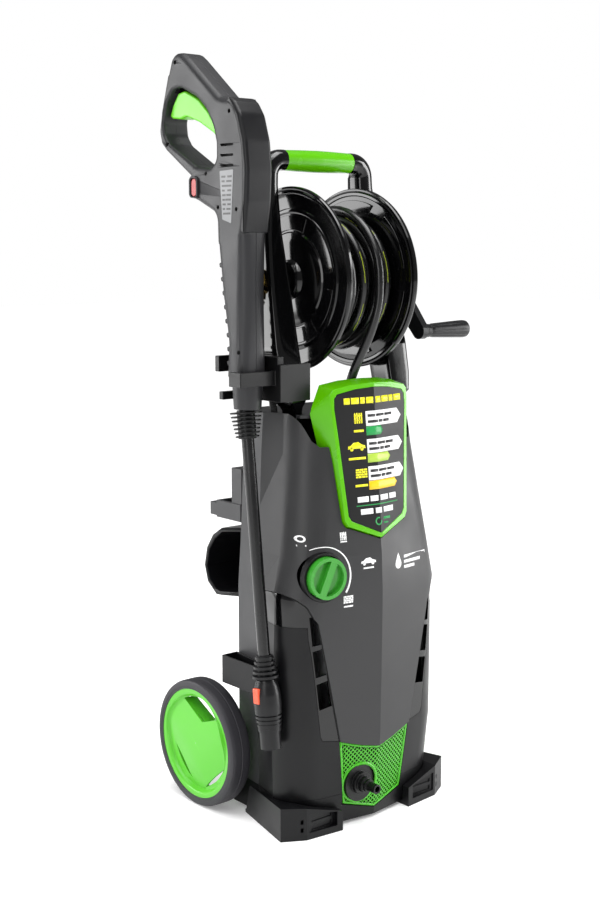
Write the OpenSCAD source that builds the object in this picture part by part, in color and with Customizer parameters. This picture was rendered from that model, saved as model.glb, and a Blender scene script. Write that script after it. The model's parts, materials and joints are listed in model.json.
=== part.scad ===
// Upright electric pressure washer with an onboard hose reel, spray gun and lance.
// Frame: X to the right, Y to the back, Z up. The origin is on the floor, below the reel's axis.

/* [Front shell] */
// Height of the seam between the base tray and the lower body
tray_top = 45.5; // [44:0.5:46]
// Height of the seam between the lower body and the gloss side band
seam_z = 278.5; // [276:0.5:280]
// Wall thickness of the moulded shells
wall = 3; // [2.5:0.1:3]
// Radius of the rounded front corners, seen from above
corner_r = 50; // [48:1:52]
// Depth that the lower shells sit back from the front cover's skin
step_in = 2.5; // [2:0.1:3]

/* [Wheels] */
// Outer radius of the tyres
wheel_r = 87; // [86:0.5:88]
// Width of a tyre
wheel_w = 32; // [30:1:32]
// Distance from the middle plane to the outer face of a wheel
wheel_out = 158.6; // [158:0.2:160]
// Distance of the axle behind the reel's axis
axle_y = 83; // [82:1:84]
// Radius of the axle
axle_r = 6; // [5:0.5:6]

/* [Hose reel] */
// Height of the reel's axis
reel_z = 715; // [714:1:716]
// Radius of the reel's flanges
flange_r = 119.6; // [116:0.2:120]
// Distance from the middle plane to a flange's outer rim
flange_x = 59.4; // [58:0.2:60]
// Radius of the drum that the hose winds on
drum_r = 46; // [44:1:48]
// Radius of the wound hose
coil_r = 88; // [80:1:88]
// Diameter of the high-pressure hose
hose_d = 12; // [11:0.5:12]

/* [Crank] */
// Distance of the grip's axis in front of the reel's axis
crank_y = 57; // [56:1:58]
// Distance of the grip's axis below the reel's axis
crank_drop = 71; // [70:1:72]
// Length of the turning grip
crank_grip_l = 80; // [70:1:82]

/* [Handle] */
// Height of the carry grip's axis
grip_z = 868; // [866:1:870]
// Half the length of the green grip sleeve
grip_half = 57.5; // [56:0.5:58]
// Distance from the middle plane to the posts' inner faces
post_in = 75; // [74:1:76]

/* [Selector knob] */
// Radius of the selector knob
knob_r = 27; // [24:0.5:27]
// Height of the knob's axis
knob_z = 343; // [341:1:345]

/* [Gun and lance] */
// Distance from the middle plane to the gun's parting plane
gun_x = 150; // [149:1:151]
// Thickness of the gun over both shells
gun_t = 40; // [36:1:40]
// Lean of the lance away from the vertical, in degrees
lance_tilt = 6.5; // [6:0.1:7]
// Diameter of the lance tube
lance_d = 16; // [15:0.5:16]

/* [Inlet] */
// Radius of the water inlet's quick connector
inlet_r = 6.5; // [6:0.1:7]
// Distance of the inlet's axis to the left of the middle plane
inlet_x = 26; // [24:1:28]
// Height of the inlet's axis
inlet_z = 56; // [54:1:58]

/* [Hidden] */

arc_fn = 64;          // facets that show on round pieces
slack = 0.4;          // gap left between neighbouring mouldings
crease = 0.145;       // how fast each front facet falls back from the middle crease
split_y = -8;         // where the front shells end and the rear housing begins
far = 400;            // longer than any cut
crease_deg = atan(crease);
pod_depth = 26;       // depth of the label pod from its face to its back
rear_y = 52;          // outer face of the rear housing
shelf_z = 541;        // underside of the shelf that closes the housing
motor_y = -28;        // the motor's and pump's upright axis
piston_ring = 24;     // distance of each piston from that axis
guide_r = 9;          // radius of the hose guide's neck
guide_at = [-8, -58]; // X and Y of the hose guide
gland_at = [50, 250]; // X and Z of the mains cable's gland
lock_proud = 3;       // how far the red button's boss stands out
trigger_pivot = [2, 892];          // Y and Z of the trigger's pin
lance_top = [-gun_x, -25.6, 546];  // where the lance's axis leaves its socket
lance_l = 300;        // length of the lance tube that shows
valve_at = [-gun_x, 33, 809];      // mouth of the gun's hose socket
valve_tilt = -157;    // turn of that socket about X

// Hose tail: leaves the front of the coil, passes behind the pod and ends in the housing's guide.
TAIL = [[14, -95, 712], [13, -95, 690], [10, -92, 668], [6, -86, 646], [1, -78, 624],
  [-4, -69, 602], [-7, -62, 580], [-8, -58.5, 560], [-8, -58, 541]];

// Feed hose from the pump head up behind the left post to the reel's swivel.
FEED = [[-30, 18, 90], [-30, 30, 110], [-40, 38, 150], [-70, 36, 220], [-88, 24, 320],
  [-92, 8, 420], [-95, -8, 500], [-95, -14, 543], [-95, -11, 558], [-95, -8, 575], [-96, -5, 595],
  [-99, 4, 620], [-104, 12, 644], [-112, 16, 664], [-118, 13, 676], [-118, 4, 684], [-118, 0, 690]];

// Front shell outline by height: [z, half width at the corner, half width at the back, crease y]
STATIONS = [
  [18, 129, 120, -110], [46, 131, 121, -113], [118, 136, 122, -118], [206, 135, 122, -119.5],
  [285, 133.6, 122, -120.3], [313, 133.6, 122, -120.4], [367, 121.7, 118, -118],
  [425, 113.9, 115, -110], [496, 103.9, 112, -101], [550, 98.6, 108.5, -95.5],
  [600, 94, 106, -90]];

function section(s, inset, back) =
  let (
    r = corner_r - inset,
    hw = s[1] - inset,
    cx = hw - r,
    yc = s[3] + inset,
    cy = yc + crease * cx + r * sqrt(1 + crease * crease),
    a0 = crease_deg - 90,
    right = [for (i = [0:9]) let (a = a0 - a0 * i / 9) [cx + r * cos(a), cy + r * sin(a)]],
    left = [for (i = [9:-1:0]) [-right[i][0], right[i][1]]])
  concat([[-(s[2] - inset), back]], left, [[0, yc]], right, [[s[2] - inset, back]]);

function blend(a, b, t) = [for (i = [0:len(a) - 1]) a[i] + (b[i] - a[i]) * t];

function station(z) =
  let (k = max([for (i = [0:len(STATIONS) - 2]) STATIONS[i][0] <= z ? i : 0]))
  blend(STATIONS[k], STATIONS[k + 1],
    (z - STATIONS[k][0]) / (STATIONS[k + 1][0] - STATIONS[k][0]));

function levels(z0, z1) =
  concat([z0], [for (s = STATIONS) if (s[0] > z0 + 0.5 && s[0] < z1 - 0.5) s[0]], [z1]);

// A closed solid through a stack of outlines with equal numbers of points, given as 3D rings.
module skin(rings) {
  n = len(rings[0]);
  m = len(rings);
  polyhedron(
    points = [for (ring = rings) for (p = ring) p],
    faces = concat(
      [[for (i = [0:n - 1]) i]],
      [[for (i = [n - 1:-1:0]) (m - 1) * n + i]],
      [for (k = [0:m - 2]) for (i = [0:n - 1])
        [k * n + i, (k + 1) * n + i, (k + 1) * n + (i + 1) % n]],
      [for (k = [0:m - 2]) for (i = [0:n - 1])
        [k * n + i, (k + 1) * n + (i + 1) % n, k * n + (i + 1) % n]]),
    convexity = 6);
}

module front_solid(inset, z0, z1, back) {
  skin([for (z = levels(z0, z1)) [for (p = section(station(z), inset, back)) [p[0], p[1], z]]]);
}

// A skin of the front shell between two insets, limited to an outline drawn in the front view.
module front_shell(inset, z0, z1) {
  intersection() {
    difference() {
      front_solid(inset, z0, z1, split_y - slack);
      front_solid(inset + wall, z0 - 1, z1 + 1, split_y + 1);
    }
    front_view(-far, 0) children();
  }
}

// Extrudes an outline given in X and Z along Y, from y0 to y1.
module front_view(y0, y1) {
  translate([0, y1, 0]) rotate([90, 0, 0]) linear_extrude(y1 - y0) children();
}

// Extrudes an outline given in Y and Z along X, from x0 to x1.
module side_view(x0, x1) {
  translate([x0, 0, 0]) rotate([90, 0, 90]) linear_extrude(x1 - x0) children();
}

module both_sides() {
  children();
  mirror([1, 0, 0]) children();
}

// Cylinder along +X from x0 to x1 at a height and depth.
module rod_x(r, x0, x1, y, z) {
  translate([x0, y, z]) rotate([0, 90, 0]) cylinder(r = r, h = x1 - x0, $fn = arc_fn);
}

// Cylinder along +Y from y0 to y1.
module rod_y(r, y0, y1, x, z) {
  translate([x, y1, z]) rotate([90, 0, 0]) cylinder(r = r, h = y1 - y0, $fn = arc_fn);
}

module rod_z(r, z0, z1, x, y) {
  translate([x, y, z0]) cylinder(r = r, h = z1 - z0, $fn = arc_fn);
}

function mirrored(pts) = [for (i = [len(pts) - 1:-1:0]) [-pts[i][0], pts[i][1]]];

// ---- Outlines of the front, as half outlines in X and Z, from the bottom up ----
GRILLE_HALF = [[0, 16], [51.1, 31], [61.4, 119.6], [45, 114], [23, 107.4], [0, 102.6]];
COVER_EDGE = [[0, 103], [23, 108], [45, 114.6], [62, 120.2], [97.4, 284], [102.5, 290],
  [110.5, 306], [122.5, 317], [150, 333]];
COVER_TOP = [[150, 547], [98, 547], [93, 536], [86, 514], [78, 506], [0, 506]];
PANEL = [[62.5, 121.2], [88, 126], [91, 132], [103.5, 235], [108, 262], [109, seam_z + slack],
  [150, seam_z + slack], [150, 332.4], [122.8, 316.5], [110.9, 305.5], [103, 289.7], [97.9, 284.1]];
VENTS = [[[88.2, 256], [103.5, 254], [107.2, 292], [97.5, 294]],
  [[82, 214.5], [99, 212], [103.2, 247], [88.8, 250]],
  [[74.5, 171], [93.5, 168], [98, 203], [81.5, 206]]];

// Pod outline: [x, z] at the front face, and where the same corner lies at the back.
POD = [[[0, 385], [0, 380]], [[50, 404], [55, 400]], [[54.5, 411], [60, 411]],
  [[63, 515], [72, 512]], [[67, 560], [79, 546]], [[66.5, 574], [76, 556]],
  [[62, 578.5], [63, 583]], [[35, 583.5], [35, 587.5]], [[0, 585.5], [0, 589]]];

function pod_y(x, z) = -100 - (584 - z) * 0.0897 + crease * abs(x);
function pod_half(grow, d) =
  [for (p = POD) let (q = blend(p[0], p[1], max(0, d / pod_depth)))
    let (x = q[0] + (q[0] > 0 ? grow : 0), z = q[1] + (q[1] > 550 ? grow : q[1] < 412 ? -grow : 0))
    [x, pod_y(x, z) + d, z]];

// The pod's solid from depth d0 to depth d1 behind its face: two halves that meet at the crease.
module pod_solid(grow, d0, d1) {
  front = pod_half(grow, d0);
  back = pod_half(grow, d1);
  last = len(POD) - 1;
  both_sides() skin([for (ring = [front, back]) [for (i = [last:-1:0]) ring[i]]]);
}

module foot_base() {
  foot = [[60, -112], [117, -106], [147, -89], [121, 18], [60, 18]];
  color("#39393b") {
    linear_extrude(4.5) polygon([[60, -112], [117, -106], [147, -89], [121, 18], [-121, 18],
      [-147, -89], [-117, -106], [-60, -112], [-60, -70], [-96, -60], [-96, 0], [96, 0],
      [96, -60], [60, -70]]);
    both_sides() difference() {
      intersection() {
        linear_extrude(46) polygon(foot);
        front_view(-150, 60) polygon([[60, 4], [150, 4], [150, 45], [118, 43], [60, 27]]);
      }
      front_solid(step_in - 1.1, 4.6, 60, 60);
      for (slot = [[11, 17], [22, 27]])
        translate([74, -112, slot[0]]) cube([34, 9, slot[1] - slot[0]]);
      translate([121, -104, 11]) rotate([0, 0, 33]) cube([19, 8, 6]);
      translate([121, -104, 22]) rotate([0, 0, 33]) cube([19, 8, 6]);
    }
  }
}

module base_tray() {
  color("#2e2e30") {
    difference() {
      front_solid(step_in, 5, tray_top, split_y);
      front_solid(step_in + wall, 8, 60, split_y + 1);
      front_view(-140, -95) polygon(concat([[-53, 60], [-53, 30], [0, 14.8], [53, 30], [53, 60]]));
    }
    translate([0, 0, 5]) linear_extrude(wall) polygon([[-117, split_y], [117, split_y],
      [112, 52], [-112, 52]]);
    both_sides() difference() {
      side_view(100, 114) polygon([[split_y, 5], [52, 5], [94, 70], [99, 87], [94, 98],
        [83, 103], [70, 98], [58, 76], [53, tray_top], [split_y, tray_top]]);
      rod_x(axle_r + 0.02, 90, 120, axle_y, wheel_r);
    }
  }
}

module lower_body() {
  color("#3b3b3d") front_shell(step_in, tray_top + slack, seam_z)
    for (side = [1, -1]) scale([side, 1]) polygon([[52.4, 40], [62.2, 118], [62.6, 120.6],
      [88.4, 125.5], [91.5, 131.8], [104, 235], [108.5, 262], [109.4, seam_z], [160, seam_z],
      [160, 40]]);
}

function rear_outline(z, inset, y1) =
  let (w = station(z)[2] - step_in - inset)
  [[-w, split_y], [w, split_y], [w - 6, y1 - 12], [w - 18, y1 - inset], [-(w - 18), y1 - inset],
    [-(w - 6), y1 - 12]];

module rear_skin(inset, z0, z1) {
  skin([for (z = levels(z0, z1)) [for (p = rear_outline(z, inset, rear_y)) [p[0], p[1], z]]]);
}

module rear_housing() {
  color("#616164") {
    difference() {
      rear_skin(0, tray_top + slack, shelf_z + 4);
      rear_skin(wall, tray_top - 1, shelf_z);
      rod_y(8.1, 40, 60, gland_at[0], gland_at[1]);
      for (x = [-60, 0, 60], z = [150, 160, 170, 180]) translate([x - 20, 40, z]) cube([40, 20, 4]);
    }
    // Shelf that closes the top inside the cover, with holes for the posts and the hose
    difference() {
      translate([0, 0, shelf_z]) linear_extrude(4) polygon([[-88, split_y], [-88, -58], [-76, -62],
        [-34, -62], [-26, -71], [26, -71], [34, -62], [76, -62], [88, -58], [88, split_y]]);
      both_sides() translate([post_in - 1, -49, 530]) cube([20, 30, 30]);
      rod_z(guide_r + 0.05, 530, 550, guide_at[0], guide_at[1]);
    }
  }
}

module front_cover() {
  color("#565658") difference() {
    front_shell(0, 100, 548)
      polygon(concat(COVER_EDGE, COVER_TOP, mirrored(COVER_TOP), mirrored(COVER_EDGE)));
    pod_solid(0.5, -8, pod_depth + 30);
    knob_frame() rod_y(knob_r + 5, -20, 20, 0, 0);
  }
}

module vent_panel() {
  difference() {
    front_shell(step_in, 110, 340) polygon(PANEL);
    for (v = VENTS) front_view(-140, -60) polygon(v);
  }
}

module vent_panel_right() {
  color("#0c0c0e") vent_panel();
}

module vent_panel_left() {
  color("#0c0c0e") mirror([1, 0, 0]) vent_panel();
}

// The grille stands in the V of the lower body's mouth, one flat panel on each side of the crease.
module inlet_grille() {
  color("#58c81e") difference() {
    intersection() {
      difference() {
        front_solid(step_in + 0.5, 15, 125, -80);
        front_solid(step_in + 4, 14, 126, -79);
      }
      front_view(-140, -60) polygon(concat(GRILLE_HALF, mirrored(GRILLE_HALF)));
    }
    rod_y(26, -140, -60, -inlet_x, inlet_z);
  }
}

module water_inlet() {
  color("#141416") difference() {
    union() {
      rod_y(25.6, -108, -101, -inlet_x, inlet_z);
      rod_y(12, -101, -85, -inlet_x, inlet_z);
      rod_y(15, -114, -108, -inlet_x, inlet_z);
      rod_y(10.5, -121, -114, -inlet_x, inlet_z);
      rod_y(8.5, -126, -121, -inlet_x, inlet_z);
      rod_y(inlet_r, -141, -126, -inlet_x, inlet_z);
      rod_y(8, -85, -69, -inlet_x, inlet_z);
    }
    rod_y(4, -150, -60, -inlet_x, inlet_z);
  }
}

module label_pod() {
  color("#5ac800") difference() {
    pod_solid(0, 0, pod_depth);
    pod_solid(-3.5, 3.5, pod_depth + 4);
    pod_solid(-6, -4, 1.3);
  }
}

module label_plate() {
  color("#202022") pod_solid(-6.3, 0.2, 1.2);
}

// ---- Handle ----
POST_FRONT = [[-48, 500], [-48, 552], [-59.5, 564], [-50.5, 603], [-36, 665], [-24, 718],
  [-12, 771], [0, 824], [2.4, 842]];
POST_BACK = [[36, 842], [34, 824], [28, 771], [22, 718], [8, 665], [-6, 603], [-16, 564],
  [-20, 552], [-20, 500]];
POST_OUTER = [[88, 500], [88, 551], [107, 563], [112.5, 589], [115, 629], [108, 730], [97, 830],
  [96, 842]];
POST_INNER = [[68, 842], [70, 824], [75, 780], [75, 500]];

module post() {
  color("#0a0a0c") {
    difference() {
      union() {
        intersection() {
          side_view(60, 130) polygon(concat(POST_FRONT, POST_BACK));
          front_view(-80, 60) polygon(concat(POST_OUTER, POST_INNER));
        }
        rod_x(22, 76, 106, 0, reel_z);
      }
      intersection() {
        side_view(70, 130) polygon([[-44, 550], [-46, 603], [-31.5, 665], [-19.5, 718], [-7.5, 771],
          [2, 810], [60, 810], [60, 550]]);
        front_view(-80, 60) polygon([[79, 550], [84, 550], [102, 566], [108, 600], [111, 629], [104, 730],
          [95, 810], [79, 810]]);
        difference() {
          translate([60, -80, 545]) cube([80, 150, 270]);
          rod_x(22, 50, 140, 0, reel_z);
        }
      }
      rod_x(16.02, 60, 130, 0, reel_z);
    }
    hull() {
      translate([68, 3, 838]) cube([28, 33, 4]);
      translate([82, 14, 848]) cylinder(r = 13.6, h = 0.5, $fn = 32);
    }
    difference() {
      tube(concat([[grip_half + 0.2, 14, grip_z]],
        [for (a = [0:15:90]) [62 + 20 * sin(a), 14, grip_z - 20 + 20 * cos(a)]]), 13.6, 24, [0, 1, 0]);
      rod_x(8.02, 50, 61.6, 14, grip_z);
    }
  }
}

module post_right() {
  post();
}

module post_left() {
  mirror([1, 0, 0]) post();
}

module handle_core() {
  color("#9a9a9c") rod_x(8, -61.5, 61.5, 14, grip_z);
}

module handle_grip() {
  color("#66cc00") translate([0, 14, grip_z]) rotate([0, 90, 0]) rotate_extrude($fn = arc_fn)
    polygon([[8.03, -grip_half], [13, -grip_half], [13.8, -grip_half / 2], [14.2, 0],
      [13.8, grip_half / 2], [13, grip_half], [8.03, grip_half]]);
}

// ---- Gun holder on the left post ----
module gun_holder() {
  color("#6c6c6f") {
    translate([-127, -66, 565]) cube([49, 5, 47]);
    translate([-127, -61, 565]) cube([9.5, 79, 57]);
    translate([-178, -56, 586]) cube([52, 7, 18]);
    translate([-182, -56, 586]) cube([8, 24, 18]);
    translate([-167, 8, 601]) cube([42, 8, 20]);
    translate([-167, 0, 566]) cube([42, 8, 10]);
  }
}

// ---- Cable hooks and bin ----
module cable_hook_upper() {
  color("#77777a") {
    difference() {
      translate([-100, rear_y + 0.3, 391]) cube([200, 54, 24]);
      translate([-94, rear_y + 4, 395]) cube([188, 44, 30]);
    }
    translate([-100, rear_y + 54.3, 393]) cube([200, 14, 18]);
    difference() {
      translate([-98, rear_y + 0.3, 415]) cube([196, 22, 48]);
      translate([-94, rear_y + 3, 410]) cube([188, 30, 49]);
    }
  }
}

module cable_hook_lower() {
  lip = [[rear_y + 0.3, 288], [100, 281], [112, 280], [132, 295], [139, 318], [133, 344],
    [119, 364], [100, 376], [rear_y + 0.3, 383]];
  room = [[rear_y + 4, 294], [104, 287], [115, 289], [127, 300], [133, 318], [127, 341],
    [114, 358], [98, 370], [rear_y + 4, 377]];
  color("#4c4c4f") difference() {
    side_view(-98, 98) polygon(lip);
    side_view(-99, -3) polygon(room);
    side_view(3, 99) polygon(room);
  }
}

module side_bin() {
  outer = [[-140, -35], [-128, -35], [-120.3, -8], [-114.4, 39], [-114.4, 43], [-140, 43]];
  room = [[-137.5, -32.5], [-130, -32.5], [-122.8, -8], [-117, 39], [-117, 40.5], [-137.5, 40.5]];
  color("#3b3b3d") difference() {
    translate([0, 0, 180]) linear_extrude(38) polygon(outer);
    translate([0, 0, 183]) linear_extrude(60) polygon(room);
  }
}

module cable_gland() {
  color("#141416") difference() {
    union() {
      rod_y(8, rear_y - wall - 4, rear_y + 14, gland_at[0], gland_at[1]);
      rod_y(11, rear_y + 0.2, rear_y + 5, gland_at[0], gland_at[1]);
      rod_y(11, rear_y - wall - 6, rear_y - wall - 2, gland_at[0], gland_at[1]);
    }
    rod_y(4.2, 30, 80, gland_at[0], gland_at[1]);
  }
}

module axle() {
  color("#a4a4a6") rod_x(axle_r, -156, 156, axle_y, wheel_r);
}

module axle_clips() {
  color("#8c8c8e") both_sides() difference() {
    rod_x(11, 154, 155.5, axle_y, wheel_r);
    rod_x(axle_r + 0.02, 150, 160, axle_y, wheel_r);
  }
}

// ---- Knob ----
module knob_frame() {
  translate([-88, station(knob_z)[3] + crease * 88, knob_z]) rotate([0, 0, -crease_deg]) children();
}

module knob_bezel() {
  color("#101012") knob_frame() difference() {
    union() {
      rod_y(knob_r + 4.6, -1.2, 9, 0, 0);
      rod_y(7, 8, 12, 0, 0);
    }
    rod_y(knob_r + 1.3, -5, 6, 0, 0);
    rod_y(4.05, 0, 20, 0, 0);
  }
}

module selector_knob() {
  color("#5abe46") knob_frame() {
    difference() {
      rod_y(knob_r, -10, 4, 0, 0);
      rotate([0, 23, 0]) for (side = [1, -1]) difference() {
        rod_y(knob_r - 4.5, -11, -3, 0, 0);
        translate([side * 27 - 27 - 5 * side, -20, -40]) cube([54, 40, 80]);
      }
    }
    rod_y(4, 4, 30, 0, 0);
  }
}

module switch_box() {
  color("#202022") knob_frame() difference() {
    translate([-18, 15, -24]) cube([36, 30, 48]);
    rod_y(4.05, 10, 31, 0, 0);
  }
}

// ---- Motor and pump ----
module motor_housing() {
  color("#8a8d90") difference() {
    rod_z(58, 196, 342, 0, motor_y);
    rod_z(34, 202, 336, 0, motor_y);
    rod_z(8.05, 190, 350, 0, motor_y);
  }
}

module motor_rotor() {
  color("#7c7f82") {
    rod_z(8, 150, 374, 0, motor_y);
    rod_z(33, 212, 326, 0, motor_y);
  }
}

module motor_fan() {
  color("#202022") difference() {
    union() {
      rod_z(14, 346, 368, 0, motor_y);
      rod_z(50, 346, 349, 0, motor_y);
      for (k = [0:8]) translate([0, motor_y, 349]) rotate([0, 0, 40 * k])
        translate([12, -1.2, 0]) cube([37, 2.4, 16]);
    }
    rod_z(8.02, 340, 380, 0, motor_y);
  }
}

module wobble_plate() {
  color("#b4b6b8") difference() {
    union() {
      translate([0, motor_y, 168]) rotate([8, 0, 0]) cylinder(r = 34, h = 8, center = true, $fn = arc_fn);
      rod_z(14, 160, 182, 0, motor_y);
    }
    rod_z(8.02, 140, 200, 0, motor_y);
  }
}

module pump_body() {
  color("#9b9ea1") difference() {
    union() {
      translate([-42, motor_y - 40, 48]) cube([84, 80, 72]);
      rod_z(48, 120, 195, 0, motor_y);
    }
    rod_z(42, 134, 200, 0, motor_y);
    for (k = [0:2]) rotate_about(motor_y, 120 * k + 90) rod_z(7.04, 90, 140, piston_ring, 0);
  }
}

// Turns its children about an upright axis at a depth y.
module rotate_about(y, deg) {
  translate([0, y, 0]) rotate([0, 0, deg]) children();
}

module pump_pistons() {
  color("#c8cacc") for (k = [0:2]) rotate_about(motor_y, 120 * k + 90) {
    rod_z(7, 96, 154, piston_ring, 0);
    rod_z(9.5, 146, 150, piston_ring, 0);
  }
}

module capacitor() {
  color("#d8d8da") {
    rod_z(18, 215, 290, 82, 8);
    rod_z(5, 290, 298, 82, 8);
  }
}

// ---- Reel ----
module reel_bushes() {
  color("#d0d0c8") both_sides() difference() {
    rod_x(16, 76, 104, 0, reel_z);
    rod_x(12.05, 70, 130, 0, reel_z);
  }
}

module reel_swivel() {
  color("#c0a050") difference() {
    union() {
      rod_x(15.5, -123, -110, 0, reel_z);
      rod_z(5, 692, 705, -118, 0);
    }
    rod_x(12.05, -114, -100, 0, reel_z);
  }
}

module reel_drum() {
  color("#101012") difference() {
    union() {
      rod_x(12, -113.5, 128, 0, reel_z);
      rod_x(drum_r, -50, 50, 0, reel_z);
    }
    difference() {
      rod_x(drum_r - 3, -47, 47, 0, reel_z);
      rod_x(16, -60, 60, 0, reel_z);
    }
  }
}

// Flange profile in radius and distance from the middle plane.
module flange() {
  translate([0, 0, reel_z]) rotate([0, 90, 0]) rotate_extrude($fn = 96)
    polygon([[12.03, 50.2], [92, 50.2], [108, 52.5], [112, 51.5], [117.5, 51.5], [flange_r, 53.5],
      [flange_r, 58], [118, flange_x], [113, flange_x], [109, 56.5], [90, 54], [52, 54],
      [46, 57], [24, 57], [22, 66], [12.03, 66]]);
}

module reel_flange_right() {
  color("#0a0a0c") flange();
}

module reel_flange_left() {
  color("#0a0a0c") mirror([1, 0, 0]) flange();
}

module hose_coil() {
  color("#161618") translate([0, 0, reel_z]) rotate([0, 90, 0]) rotate_extrude($fn = 96)
    polygon([[drum_r + 0.05, -49.5], [coil_r - 14, -49.5], [coil_r - 3, -44], [coil_r, -36],
      [coil_r, 36], [coil_r - 3, 44], [coil_r - 14, 49.5], [drum_r + 0.05, 49.5]]);
}

module crank_arm() {
  color("#1a1a1c") difference() {
    union() {
      rod_x(17, 118, 130, 0, reel_z);
      hull() {
        rod_x(14, 119, 129, 0, reel_z);
        rod_x(11, 122, 132, -crank_y, reel_z - crank_drop);
      }
      rod_x(5, 132, 134 + crank_grip_l + 1.5, -crank_y, reel_z - crank_drop);
    }
    rod_x(12.02, 110, 128.2, 0, reel_z);
  }
}

module crank_grip() {
  color("#38383a") translate([134, -crank_y, reel_z - crank_drop]) rotate([0, 90, 0])
    rotate_extrude($fn = arc_fn) polygon([[5.06, 0], [9, 0], [9.5, 8], [12.2, crank_grip_l - 8],
      [11.5, crank_grip_l - 2], [9.5, crank_grip_l], [5.06, crank_grip_l]]);
}

// Tube along points, one ring at each. The route never runs along the across direction.
module tube(pts, r, sides, across = [1, 0, 0]) {
  n = len(pts);
  dirs = [for (i = [0:n - 1]) let (a = pts[max(0, i - 1)], b = pts[min(n - 1, i + 1)])
    (b - a) / norm(b - a)];
  skin([for (i = [0:n - 1]) let (d = dirs[i], u = cross(across, d), u1 = u / norm(u), v = cross(d, u1))
    [for (k = [0:sides - 1]) pts[i] + r * (cos(360 * k / sides) * u1 + sin(360 * k / sides) * v)]]);
}

module hose_tail() {
  color("#161618") tube(TAIL, hose_d / 2, 10);
}

module hose_guide() {
  color("#101012") difference() {
    union() {
      rod_z(guide_r, 534, 546, guide_at[0], guide_at[1]);
      rod_z(guide_r + 3, 545.2, 548, guide_at[0], guide_at[1]);
    }
    rod_z(hose_d / 2 + 0.6, 520, 560, guide_at[0], guide_at[1]);
  }
}

module feed_hose() {
  color("#202022") tube(FEED, 5, 8);
}

// ---- Wheels ----
module tyre() {
  a = wheel_out - wheel_w;
  color("#46444b") translate([0, axle_y, wheel_r]) rotate([0, 90, 0]) rotate_extrude($fn = 96)
    polygon([[75.1, a + 1], [82, a], [85.6, a + 1.6], [wheel_r, a + 6], [wheel_r, wheel_out - 6],
      [85.6, wheel_out - 1.6], [82, wheel_out], [75.1, wheel_out - 0.5]]);
}

module wheel_hub() {
  a = wheel_out - wheel_w;
  color("#6fd63a") difference() {
    translate([0, axle_y, wheel_r]) rotate([0, 90, 0]) rotate_extrude($fn = 96)
      polygon([[axle_r + 0.06, a + 1], [13, a + 1], [13, a + 14], [70, a + 18], [70, a + 2],
        [75, a + 1], [75, wheel_out - 1], [72, wheel_out - 1], [66, wheel_out - 13],
        [40, wheel_out - 8], [16, wheel_out - 5.5], [axle_r + 0.06, wheel_out - 5.5]]);
    translate([100, axle_y - 19, wheel_r + 34]) cube([80, 38, 31]);
    for (a2 = [120, 240]) translate([0, axle_y, wheel_r]) rotate([-a2, 0, 0])
      translate([100, -20, 48]) cube([80, 40, 8]);
  }
}

module tyre_right() { tyre(); }
module tyre_left() { mirror([1, 0, 0]) tyre(); }
module wheel_hub_right() { wheel_hub(); }
module wheel_hub_left() { mirror([1, 0, 0]) wheel_hub(); }

// ---- Gun: outlines in Y and Z ----
GUN_OUT = [[-47, 596], [-47, 700], [-48, 775], [-54, 812], [-56, 850], [-52, 885], [-42, 916],
  [-30, 932], [-22, 937], [-8, 937], [2, 940], [68, 992], [80, 1000], [94, 1001], [103, 994],
  [110, 975], [124, 930], [129, 905], [125, 890], [114, 880], [62, 846], [62, 820], [52, 816],
  [10, 798], [10, 762], [2, 690], [-7, 640], [-7, 596]];
GUN_LOOP = [[22, 855], [50, 858], [108, 888], [118, 900], [120, 916], [113, 941], [100, 956],
  [84, 958], [52, 944], [30, 926], [16, 905], [10, 885], [10, 864]];
GUN_ROOM = [[-43, 600], [-43, 700], [-44, 775], [-50, 812], [-52, 850], [-48, 883], [-38, 912],
  [-24, 930], [-8, 931], [4, 934], [70, 986], [84, 994], [94, 994], [99, 987], [104, 962],
  [88, 964], [52, 950], [26, 930], [11, 907], [4, 888], [4, 858], [14, 849], [52, 852],
  [56, 849], [56, 823], [48, 819], [4, 802], [5, 762], [-3, 690], [-11, 645], [-11, 600]];

// The red button's boss and its own outline, on the gun's left side.
LOCK_BOSS = [[46.5, 817.5], [57, 819], [61, 822.5], [61, 841.5], [57, 846], [47.5, 846],
  [43, 841.5], [43, 822]];
LOCK_OUT = [[49.5, 820.5], [54.5, 820.5], [57.5, 823.5], [57.5, 839.5], [54.5, 842.5],
  [49.5, 842.5], [46.5, 839.5], [46.5, 823.5]];

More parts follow.
